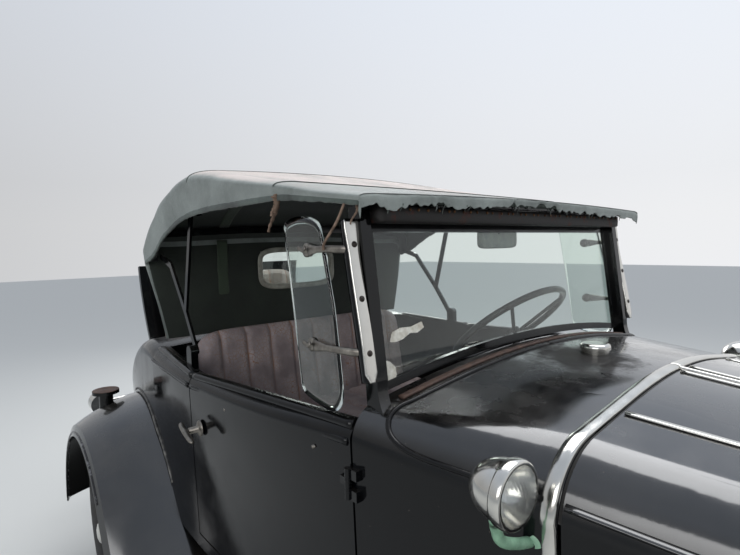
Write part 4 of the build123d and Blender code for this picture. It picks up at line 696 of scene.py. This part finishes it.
bench_pitch, rumble_pitch = 0.103, 0.110
seat_hide = cracked_leatherette("cracked brown leatherette", "867a7b", "aea2a2", "93603a", bench_pitch)
rumble_hide = cracked_leatherette("taupe leatherette", "716a63", "8d857d", "7a5238", rumble_pitch)
for name, node, lean, thick, hide, pitch, fill, body in (
        ("bench_cushion", "seat_cushion", 0.0, None, seat_hide, bench_pitch, 0.6, "chassis"),
        ("bench_back", "seat_back", 1.42, 0.036, seat_hide, bench_pitch, 0.5, "chassis"),
        ("rumble_seat_cushion", "rumble_cushion", 0.0, None, rumble_hide, rumble_pitch, 0.6, "chassis"),
        ("rumble_seat_back", "rumble_back", 1.467, 0.030, rumble_hide, rumble_pitch, 0.5, "rumble_lid")):
    low, high = (array(c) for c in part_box(node))
    middle, reach = (low + high) / 2, (high - low) / 2
    half = reach if thick is None else (reach[2] * 0.985, reach[1], thick)
    swollen(name, middle, half, lean, pitch, body, hide, node)


# Cowl and hood trim: a rolled bead runs over the cowl just ahead of the windshield, turns
# round each post foot and goes forward along the side; on the hood it is the belt moulding.
def both(*parts):
    """The same parts and their mirror images across the car."""
    return [*parts, *((p * (1, -1, 1), f[:, ::-1]) for p, f in parts)]


# Rows: x, half width and z of the belt, half width and z of the top edge, z of the crown.
hood_rear_x, hood_front_x = 0.655, 1.457
panel_rows = array(((0.290, 0.588, 1.082, 0.514, 1.160, 1.205),
                       (hood_rear_x, 0.490, 1.046, 0.352, 1.154, 1.196),
                       (hood_front_x, 0.286, 0.965, 0.200, 1.082, 1.112)))


def panel_shape(x):
    """Section at x: side arc through three points (centre, radius, first and last angle), crown
    arc of radius R, and the lean of the line that touches both arcs from outside."""
    belt, belt_z, top, edge_z, crown = (interp(x, panel_rows[:, 0], panel_rows[:, k]) for k in range(1, 6))
    mid_y, mid_z = top + 0.78 * (belt - top), belt_z + 0.66 * (edge_z - belt_z)
    a, b, c = belt ** 2 + belt_z ** 2, mid_y ** 2 + mid_z ** 2, top ** 2 + edge_z ** 2
    twice = 2 * (belt * (mid_z - edge_z) + mid_y * (edge_z - belt_z) + top * (belt_z - mid_z))
    heart_y = (a * (mid_z - edge_z) + b * (edge_z - belt_z) + c * (belt_z - mid_z)) / twice
    heart_z = (a * (top - mid_y) + b * (belt - top) + c * (mid_y - belt)) / twice
    small = np.hypot(belt - heart_y, belt_z - heart_z)
    large = (top ** 2 + (crown - edge_z) ** 2) / (2 * (crown - edge_z))
    rise = heart_z - crown + large
    lean = np.arctan2(heart_y, rise) - np.arccos(clip((large - small) / np.hypot(heart_y, rise), -1, 1))
    return (heart_y, heart_z, small, np.arctan2(belt_z - heart_z, belt - heart_y),
            np.arctan2(edge_z - heart_z, top - heart_y), top, crown, large, lean)


def on_panel(x, s, proud=0.0):
    """Point of the cowl or hood at x: s = 0 belt, 1 top edge, 2 crown, proud metres outside it.
    Between the two arcs z follows the line that touches both, so the shoulder is one sweep."""
    x, s = np.broadcast_arrays(np.asarray(x, float), np.asarray(s, float))
    heart_y, heart_z, small, first, last, top, crown, large, lean = panel_shape(x)
    turn = first + (last - first) * clip(s, 0, 1)
    w = clip(2 - s, 0, 1)
    y = where(s < 1, heart_y + small * cos(turn), w * top)
    z = where(s < 1, heart_z + small * sin(turn), crown - large + np.sqrt(large ** 2 - (w * top) ** 2))
    inner, outer = large * sin(lean), heart_y + small * sin(lean)
    line = crown - large + large * cos(lean) - np.tan(lean) * (y - inner)
    z = where((y > inner) & (y < outer) & (s > 0.5), np.maximum(z, line), z)
    ny = where(s < 1, np.maximum(cos(turn), 0.13), 0.15 * w)
    nz = where(s < 1, np.maximum(sin(turn), 0.05), 1.0)
    return xyz(x, -(y + proud * ny), z + proud * nz)


def shoulder_skin(low_x, high_x, count):
    """The enamelled shoulder: z of the touching line between the arcs, from 12 mm outside it
    to 12 mm inside it, 0.3 mm proud in the middle and sunk under the panel at both edges."""
    x = linspace(low_x, high_x, count)[None]
    heart_y, heart_z, small, first, last, top, crown, large, lean = panel_shape(x)
    inner, outer = large * sin(lean), heart_y + small * sin(lean)
    share = linspace(-1, 1, 41)[:, None]
    y = (inner + outer) / 2 + share * ((outer - inner) / 2 + 0.012)
    z = where(y > outer, heart_z + np.sqrt(np.maximum(small ** 2 - (y - heart_y) ** 2, 0)),
                 where(y < inner, crown - large + np.sqrt(large ** 2 - y ** 2),
                          crown - large + large * cos(lean) - np.tan(lean) * (y - inner)))
    return quads(xyz(x, -y, z + 0.0003 - 0.0006 * share ** 6))


moulding_s = 0.165
turn_line = curve([(0.352, 2.0), (0.352, 1.5), (0.350, 1.1), (0.346, 0.78), (0.350, 0.52), (0.372, 0.30),
                   (0.420, 0.19), (0.52, moulding_s), (0.628, moulding_s)], 120)
piece("cowl_bead", both(tube(on_panel(turn_line[:, 0], turn_line[:, 1], 0.001), 0.0052)), body_paint)
piece("cowl_shoulders", both(shoulder_skin(0.357, 0.6285, 30)), cowl_paint)
band_x = 0.642
z = linspace(0.477, 1.040, 20)
half_band = concatenate([
    xyz(band_x, -interp(z, (0.474, 1.046), (0.474, 0.490)) - 0.001, z),
    on_panel(band_x, linspace(0.02, 2.0, 70), 0.001)])
band = tube(half_band, 0.0062, 0.0130, up=(1, 0, 0.001), sides=24)
band_piece = piece("half_round_band", both(band), nickel)
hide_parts("cowl_band")
foot_strip = on_panel(0.3235, linspace(1.02, 2.0, 60), 0.0015)
piece("windshield_foot_rubber", both(tube(foot_strip, 0.0090, 0.0035, square=3)), brown_rubber)


# Hood halves: enamelled shoulder and belt moulding, bright strips along the middle and the
# fold, 21 pressed louvres and two latches, all riding on their half.
def hood_row(at, rear, front):
    """A size of the hood at x, from its size at the rear and front ends."""
    return interp(at, (hood_rear_x, hood_front_x), (rear, front))


x = linspace(0.664, 1.448, 40)
for name, side in (("hood_left", 1), ("hood_right", -1)):
    points, faces = shoulder_skin(0.6600, 1.4560, 60)
    piece(name + "_shoulder", [(points * (1, -side, 1), faces)], hood_paint, name)
    moulding = tube(on_panel(x, moulding_s, 0.001) * (1, -side, 1), 0.010, 0.005)
    piece(name + "_moulding", [moulding], hood_paint, name)
    piece(name + "_hinge_strip", [
        tube(on_panel(x, s, 0.002) * (1, -side, 1), wide, tall, square=3)
        for s, wide, tall in ((1.19, 0.0075, 0.0028), (1.925, 0.0055, 0.0030))], nickel, name)
    slots = []
    for at in linspace(0.76, 1.36, 21):
        z = linspace(0.745, 0.935, 14)
        low_y, top_y = hood_row(at, 0.474, 0.262), hood_row(at, 0.490, 0.286)
        y = low_y + (z - 0.560) / (hood_row(at, 1.046, 0.965) - 0.560) * (top_y - low_y)
        swell = 0.007 * sin(pi * (z - z[0]) / (z[-1] - z[0])) ** 0.35
        slots.append(tube(xyz(at, side * y, z), 0.010, swell, up=(0, side, 0), sides=10))
    piece(name + "_louvres", slots, hood_paint, name)
    latches = []
    for at in (0.74, 1.38):
        hook = [(at, side * (out + hood_row(at, rear, front)), z)
                for out, rear, front, z in ((0.02, 0.477, 0.266, 0.672), (0.026, 0.477, 0.266, 0.655),
                                            (0.012, 0.476, 0.265, 0.645))]
        latches.append(tube(curve(hook, 12), 0.008, 0.004, up=(0, side, 0.1), sides=14))
    piece(name + "_latches", latches, nickel, name)

# Lacing pad in the gap between cowl band and hood: dark woven cord.
pad_cord = top_canvas("dark hood lacing", "26231f", "171513", "2c2925")
lacing = on_panel(0.6575, linspace(0.02, 2.0, 70), -0.004)
piece("hood_lacing", both(tube(lacing, 0.0018, 0.004, up=(1, 0, 0), sides=8)), pad_cord)

# Body mouldings: a rolled cap along each door top and round the rear of the cockpit, and
# a half-round belt moulding below it that carries on over the doors to the quarters.
# Rows: x, y and z of the belt, y and z of the rail.
side_rows = array(((-0.830, 0.640, 1.068, 0.607, 1.104), (-0.425, 0.650, 1.062, 0.633, 1.089),
                      (0.290, 0.588, 1.088, 0.571, 1.118)))


def along(x, row, side, out):
    """The belt (row 1) or the rail (row 3) along the body's side."""
    y, z = (interp(x, side_rows[:, 0], side_rows[:, k]) for k in (row, row + 1))
    return xyz(x, side * (y + out), z)


for side, hand in ((1, "left"), (-1, "right")):
    for name, body, x in (("door_" + hand + "_top_rail", "door_" + hand, linspace(0.278, -0.412, 50)),
                          ("quarter_rail_" + hand, "chassis", linspace(-0.430, -0.822, 34))):
        piece(name, [tube(along(x, 3, side, -0.004), 0.0165, 0.0120, sides=16, square=2.4),
                     tube(along(x, 1, side, 0.001), 0.0045, 0.0075)], body_paint, body)

# Door handles: a dull bare-metal T on a round escutcheon, and two studs for a side curtain.
grip_share = (-1, -0.8, 0, 0.8, 1)
for side, door in ((1, "door_left"), (-1, "door_right")):
    out = (0, side, 0)
    place = array((-0.345, side * 0.6505, 0.955))
    plate = lathe([(0, 0.023), (0.003, 0.022), (0.006, 0.016), (0.008, 0.010), (0.032, 0.009),
                   (0.034, 0.0)], place, out, 32)
    grip_line = curve([(x, side * y, z) for x, y, z in (
        (-0.044, 0.038, 0.013), (-0.028, 0.041, 0.008), (0.0, 0.042, 0.0), (0.028, 0.041, -0.010),
        (0.048, 0.038, -0.018))], 28)
    wide, tall = (interp(linspace(-1, 1, 28), grip_share, sizes)
                  for sizes in ((0.004, 0.0075, 0.0085, 0.0075, 0.004),
                                (0.003, 0.0055, 0.0065, 0.0055, 0.003)))
    piece(door + "_handle", [plate, tube(place + grip_line, wide, tall, sides=14)], dull_iron, door)
    studs = [lathe([(-0.004, 0.009), (0.002, 0.0085), (0.005, 0.004), (0.010, 0.0042), (0.012, 0.0)],
                   (sx, side * sy, sz), out, 20)
             for sx, sy, sz in ((-0.192, 0.6305, 1.0450), (0.179, 0.5975, 1.052))]
    piece(door + "_studs", studs, dull_iron, door)

# Windshield posts: bright strips down their outer side with three dark screws, rounded at
# the foot, and the cast clamps with thumb screws that hold the wing glasses.
post_y = -0.561
strip_line = curve([(x, post_y, z) for x, z in (
    (0.266, 1.516), (0.279, 1.430), (0.306, 1.300), (0.316, 1.245), (0.323, 1.206))], 60)
strip_wide = interp(np.arange(60), (0, 3, 7, 12, 52, 59), (0.017, 0.018, 0.016, 0.0135, 0.0145, 0.006))
strip = tube(strip_line, strip_wide, 0.0035, up=(1, 0, 0.1), sides=20, square=3.2)
piece("post_strips", both(strip), nickel)
piece("post_covers", both(tube(strip_line - (0.010, 0, 0), 0.0135, 0.011, up=(1, 0, 0.1), square=5)),
      body_paint)
screw_paint = two_tone("dark screw heads", "2a2523", "4c4038", 90.0, (0.4, 0.6), 700.0, 0.0001, 0.5)
screw_z = array((1.468, 1.364, 1.262))
screw_x = interp(screw_z, (1.180, 1.215, 1.300, 1.430, 1.540), (0.327, 0.322, 0.306, 0.279, 0.262)) + 0.0035
screws = [lathe([(0, 0.0062), (0.0014, 0.0056), (0.0022, 0.0)], (x, post_y, z), (1, 0, 0.2), 20)
          for x, z in zip(screw_x, screw_z)]
piece("post_screws", both(*screws), screw_paint)


# Wings: clear plates with rounded corners, held by cast clamps on the posts.
def filled(outline, rings, shift=(0, 0, 0), flip=1):
    """A flat patch: the outline drawn in to its middle in even rings."""
    heart = outline.mean(0)
    points, faces = quads(heart + (outline - heart)[None] * linspace(0, 1, rings)[:, None, None] + shift,
                          (False, True))
    return points, faces[:, ::flip]


def slab(outline, rings, near, far):
    """A flat plate: a patch at each of two shifts of an outline, and the edge between them."""
    return [filled(outline, rings, near), filled(outline, rings, far, -1),
            quads(np.stack([outline + near, outline + far]), (False, True))]


wing_outline = array([(x, 0, z) for x, z in (
    (0.192, 1.514), (0.236, 1.345), (0.260, 1.170), (0.248, 1.143), (0.228, 1.130), (0.160, 1.138),
    (0.112, 1.150), (0.085, 1.320), (0.050, 1.519), (0.098, 1.530), (0.150, 1.529), (0.192, 1.514))])
rim = refine(wing_outline, 161)[:-1]
ring = concatenate([rim[-3:], rim, rim[:3]])
rim = sum(share * ring[k:k + 160] for k, share in enumerate((0.07, 0.14, 0.18, 0.22, 0.18, 0.14, 0.07)))
wing_glass = piece("wing_glass", both(*slab(rim, 12, (0, -0.5805, 0), (0, -0.5860, 0))), glass)
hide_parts("wind_wings")
clamps = []
for z, back in ((1.458, 0.150), (1.261, 0.160)):
    x = interp(z, (1.180, 1.540), (0.318, 0.256))
    arm = curve([(x, -0.563, z), (x - 0.02, -0.577, z + 0.001), (x - 0.06, -0.5905, z + 0.002),
                 (back + 0.012, -0.5915, z)], 26)
    wide, tall = (interp(np.arange(26), (0, 20, 25), sizes)
                  for sizes in ((0.009, 0.007, 0.013), (0.006, 0.0045, 0.004)))
    wing_screw = curve([(back + dx, y, z + dz) for dx, y, dz in (
        (-0.014, -0.602, 0.006), (-0.005, -0.600, 0.001), (0, -0.600, 0), (0.005, -0.600, 0.001),
        (0.014, -0.602, 0.006))], 18)
    clamps += [tube(arm, wide, tall, up=(0, 1, 0.01), sides=16),
               lathe([(0, 0.015), (0.004, 0.015), (0.006, 0.010), (0.006, 0.006), (0.012, 0.006),
                      (0.013, 0.0)], (back, -0.5865, z), (0, -1, 0), 28),
               lathe([(0, 0.014), (0.003, 0.014), (0.005, 0.007), (0.005, 0.0)],
                     (back, -0.5800, z), (0, 1, 0), 28),
               tube(wing_screw, 0.0022, 0.0045)]
piece("wing_clamps", both(*clamps), dull_iron)


# Cowl lamps: bright bowl and rim, a lens with upright flutes, on a curved pale-green arm.
# Head and tail lamp lenses: the same pressed glass set in the rims, ruby behind.
def fluted_lens(centre, reach, sunk, bulge, rings, steps, flutes, border):
    """x = sunk + bulge (1 - (r/reach)^2), with 1 mm flutes cos(flutes r sin(a)) inside the border."""
    return lathe([(sunk + bulge * (1 - (r / reach) ** 2), r) for r in linspace(reach, 0.0, rings)], centre,
                 (1, 0, 0), steps, lambda r, a: 0.0010 * cos(r * sin(a + 0.78) * flutes) * (r < border))


fluted = clear_glass("fluted lamp lens", "e9ece9", 0.08, 0.85)
ruby = clear_glass("ruby lamp lens", "a3161b", 0.2, 0.4)
arm_paint = two_tone("pale green arm enamel", "8fb79a", "6d9078", 40.0, (0.3, 0.5), 500.0, 0.0003)
lamp = array((0.640, -0.580, 1.122))
turned = radians(linspace(0, 88, 22))
bowl = lathe([(-0.007 - 0.057 * cos(a), 0.0448 * sin(a) ** 0.92) for a in turned]
             + [(-0.0065, 0.0452), (-0.0060, 0.0480), (-0.0035, 0.0490), (0.0060, 0.0490), (0.0100, 0.0478),
                (0.0118, 0.0455), (0.0118, 0.0425)], lamp, (1, 0, 0), 72)
reflector = lathe([(-0.040 + 0.045 * (r / 0.042) ** 2, r) for r in linspace(0.042, 0.0, 14)], lamp,
                  (1, 0, 0), 48)
lamp_bowls = piece("cowl_lamp_bowls", both(bowl, reflector), nickel)
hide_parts("cowl_lamps")
piece("cowl_lamp_lenses", both(fluted_lens(lamp, 0.043, 0.0105, 0.012, 14, 96, 1150, 0.042)), fluted)
arm_line = lamp + curve([(-0.026, y, z) for y, z in (
    (0, -0.042), (0, -0.062), (0.012, -0.084), (0.050, -0.104), (0.096, -0.118), (0.118, -0.122))], 30)
arm_wide = interp(np.arange(30), (0, 6, 29), (0.012, 0.0085, 0.0085))
flange = lathe([(0, 0.020), (0.005, 0.018), (0.008, 0.010)], lamp + (-0.026, 0.090, -0.116),
               (0.0, -0.97, -0.2), 28)
piece("cowl_lamp_arms", both(tube(arm_line, arm_wide, sides=20), flange), arm_paint)
head_lens = fluted_lens((1.7105, 0.350, 0.850), 0.108, 0.006, 0.014, 16, 110, 800, 0.106)
piece("headlamp_lenses", both(head_lens), fluted)
tail_lens = lathe([(0.0, 0.036), (0.004, 0.034), (0.009, 0.022), (0.011, 0.0)], (-1.554, 0.690, 0.760),
                  (-1, 0, 0), 40)
piece("tail_lamp_lenses", both(tail_lens), ruby)


# Rear-view mirror on the header, and what is left of two blank paper squares on the glass.
def rounded(x, y, z, half_y, half_z):
    """A rectangle across the car with rounded corners, about a middle."""
    t = linspace(0, 2 * pi, 64, endpoint=False)
    return xyz(x, y + half_y * signed_power(cos(t), 0.35),
                     z + half_z * signed_power(sin(t), 0.35))


mirror_glass = two_tone("silvered mirror back", "8f918f", "b4b4ae", 20.0, (0.3, 0.45), 300.0, 0.0002, 0.3)
mirror = slab(rounded(0.222, -0.034, 1.477, 0.082, 0.027), 6, (0.004, 0, 0), (-0.004, 0, 0))
stem = tube([(0.224, -0.034, 1.490), (0.240, -0.034, 1.508), (0.252, -0.034, 1.522)], 0.004, sides=14)
piece("rear_view_mirror", [*mirror, stem], mirror_glass)
paper = two_tone("blank torn paper", "d8d6cc", "b3ad9d", 60.0, (0.85, 0.95), 400.0, 0.0004)
scraps = []
for outline in (((-0.483, 1.268), (-0.474, 1.287), (-0.452, 1.293), (-0.420, 1.292), (-0.386, 1.299),
                 (-0.381, 1.286), (-0.402, 1.277), (-0.424, 1.279), (-0.446, 1.269), (-0.468, 1.266)),
                ((-0.500, 1.186), (-0.503, 1.209), (-0.497, 1.233), (-0.487, 1.229), (-0.475, 1.217),
                 (-0.473, 1.202), (-0.480, 1.187), (-0.491, 1.183))):
    corner = array(outline + outline[:1])
    lie = refine(xyz(0.2992 - (corner[:, 1] - 1.165) * 0.1317, corner[:, 0], corner[:, 1]), 90)[:-1]
    lie[:, 1:] += 0.0007 * sin(np.arange(89)[:, None] * (1.9, 2.3))
    scraps.append(filled(lie, 5))
piece("paper_scraps", scraps, paper)

# Fender trim: a cloth welt where each rear fender meets the body, with a painted highlight along its edge,
# and a wired bead rolled along the outer rim of every fender, with a painted highlight in pale patches.
# Painted highlight: the pale tone mixed into the welt and the bead stands for light along their edges.
welt_cloth_painted_highlight = two_tone("fender welt with painted highlight", "2a2a2b", "8d8a84", 60.0, (0.45, 0.7), 500.0, 0.0003)
bead_painted_highlight = two_tone("dark fender bead with painted highlight", "141416", "86868a", 45.0, (0.25, 0.5), 500.0, 0.0002,
                     spread=(0.52, 0.68))
a = radians(linspace(36, 118, 60))
x, z = rear_axle_x + 0.527 * cos(a), wheel_z + 0.527 * sin(a)
body_side = interp(x, (-1.555, -1.246, -0.830, -0.425), (0.535, 0.600, 0.640, 0.650)) \
    - (1.0 - clip((z - 0.56) / 0.5, 0, 1)) * 0.012
piece("fender_welts", both(tube(xyz(x, -(body_side + 0.0015), z), 0.0045)), welt_cloth_painted_highlight)
beads = []
for centre, radius, low, high in ((rear_axle_x, 0.402, 40, 181), (front_axle_x, 0.371, 4, 126)):
    a = radians(linspace(low, high, 90))
    line = xyz(centre + radius * cos(a), -0.8455, wheel_z + radius * sin(a))
    beads.append(tube(line, 0.0050))
piece("fender_beads", both(*beads), bead_painted_highlight)

# Running boards: ribbed rubber mat inside a bright edge strip.
mat_rubber = two_tone("ribbed board rubber", "18181a", "36322c", 14.0, (0.6, 0.85), 500.0, 0.0004)
ribs = [tube([(x, -y, 0.3727) for x in linspace(-0.20, 0.46, 6)], 0.0045, 0.0022, sides=8)
        for y in linspace(0.652, 0.828, 13)]
piece("board_mats", both(*ribs), mat_rubber)
board_side = -0.851
points, faces = tube([(x, -0.8495, 0.3615) for x in linspace(-0.22, 0.48, 6)], 0.0045, 0.0105,
                     sides=10, square=3)
points[:, 1] = np.maximum(points[:, 1], board_side)
piece("board_edges", both((points, faces)), nickel)

# Step plates: moulded rings on the rubber, and hub shells of the wheels in nickel.
step = (-1.204, -0.725, 0.895)
pad = lathe([(-0.004, 0.0), (-0.004, 0.0485), (-0.001, 0.0495), (0.0015, 0.0485), (0.0020, 0.0460),
             (0.0008, 0.0440), (0.0008, 0.0)], step, (0, 0, 1), 56)
rings = [lathe([(0.0, r - 0.0022), (0.0018, r), (0.0, r + 0.0022)], step, (0, 0, 1), 56)
         for r in (0.012, 0.022, 0.032, 0.042)]
piece("step_plate_rings", [pad, *rings], brown_rubber)
for place, x, y, side in wheels:
    cap = lathe([(0.070, 0.0432), (0.0795, 0.0415), (0.0865, 0.034), (0.0905, 0.022), (0.092, 0.0)],
                (x, y, wheel_z), (0, side, 0), 48)
    piece("hub_cap_" + place, [cap], nickel, "wheel_" + place)

# Radiator core: fine upright and level ribs that show as cells inside the shell.
core_low, core_high = (array(c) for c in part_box("radiator_core"))
face_x = core_high[0]
wires = []
for y in linspace(core_low[1] + 0.012, core_high[1] - 0.012, 31):
    top = core_high[2] - 0.010 - 0.10 * (abs(y) / core_high[1]) ** 4
    wires.append(tube([(face_x + 0.002, y, core_low[2] + 0.006), (face_x + 0.002, y, top)], 0.0013, 0.0022,
                      up=(1, 0, 0), sides=6))
for z in linspace(core_low[2] + 0.02, core_high[2] - 0.09, 34):
    reach = interp(z, (core_low[2], 0.93, core_high[2]), (0.222, 0.250, 0.19))
    wires.append(tube([(face_x + 0.001, -reach, z), (face_x + 0.001, reach, z)], 0.0012, 0.0018,
                      up=(1, 0, 0), sides=6))
piece("radiator_cells", wires, core_brass)

# Number plates: blank dark plates on the brackets between the bumper bars.
plate_blank = two_tone("blank plate enamel", "22252b", "3a3c40", 30.0, (0.35, 0.5), 400.0, 0.0002)
for name, x in (("front_plate", 2.0865), ("rear_plate", -2.0865)):
    shape = rounded(x, 0, 0.482, 0.150, 0.052)
    piece(name, [filled(shape, 5, (0.0008, 0, 0)), filled(shape, 5, (-0.0008, 0, 0)),
                 tube(shape, 0.0022, closed=True, up=(1, 0, 0), sides=8)], plate_blank)

low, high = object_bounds()
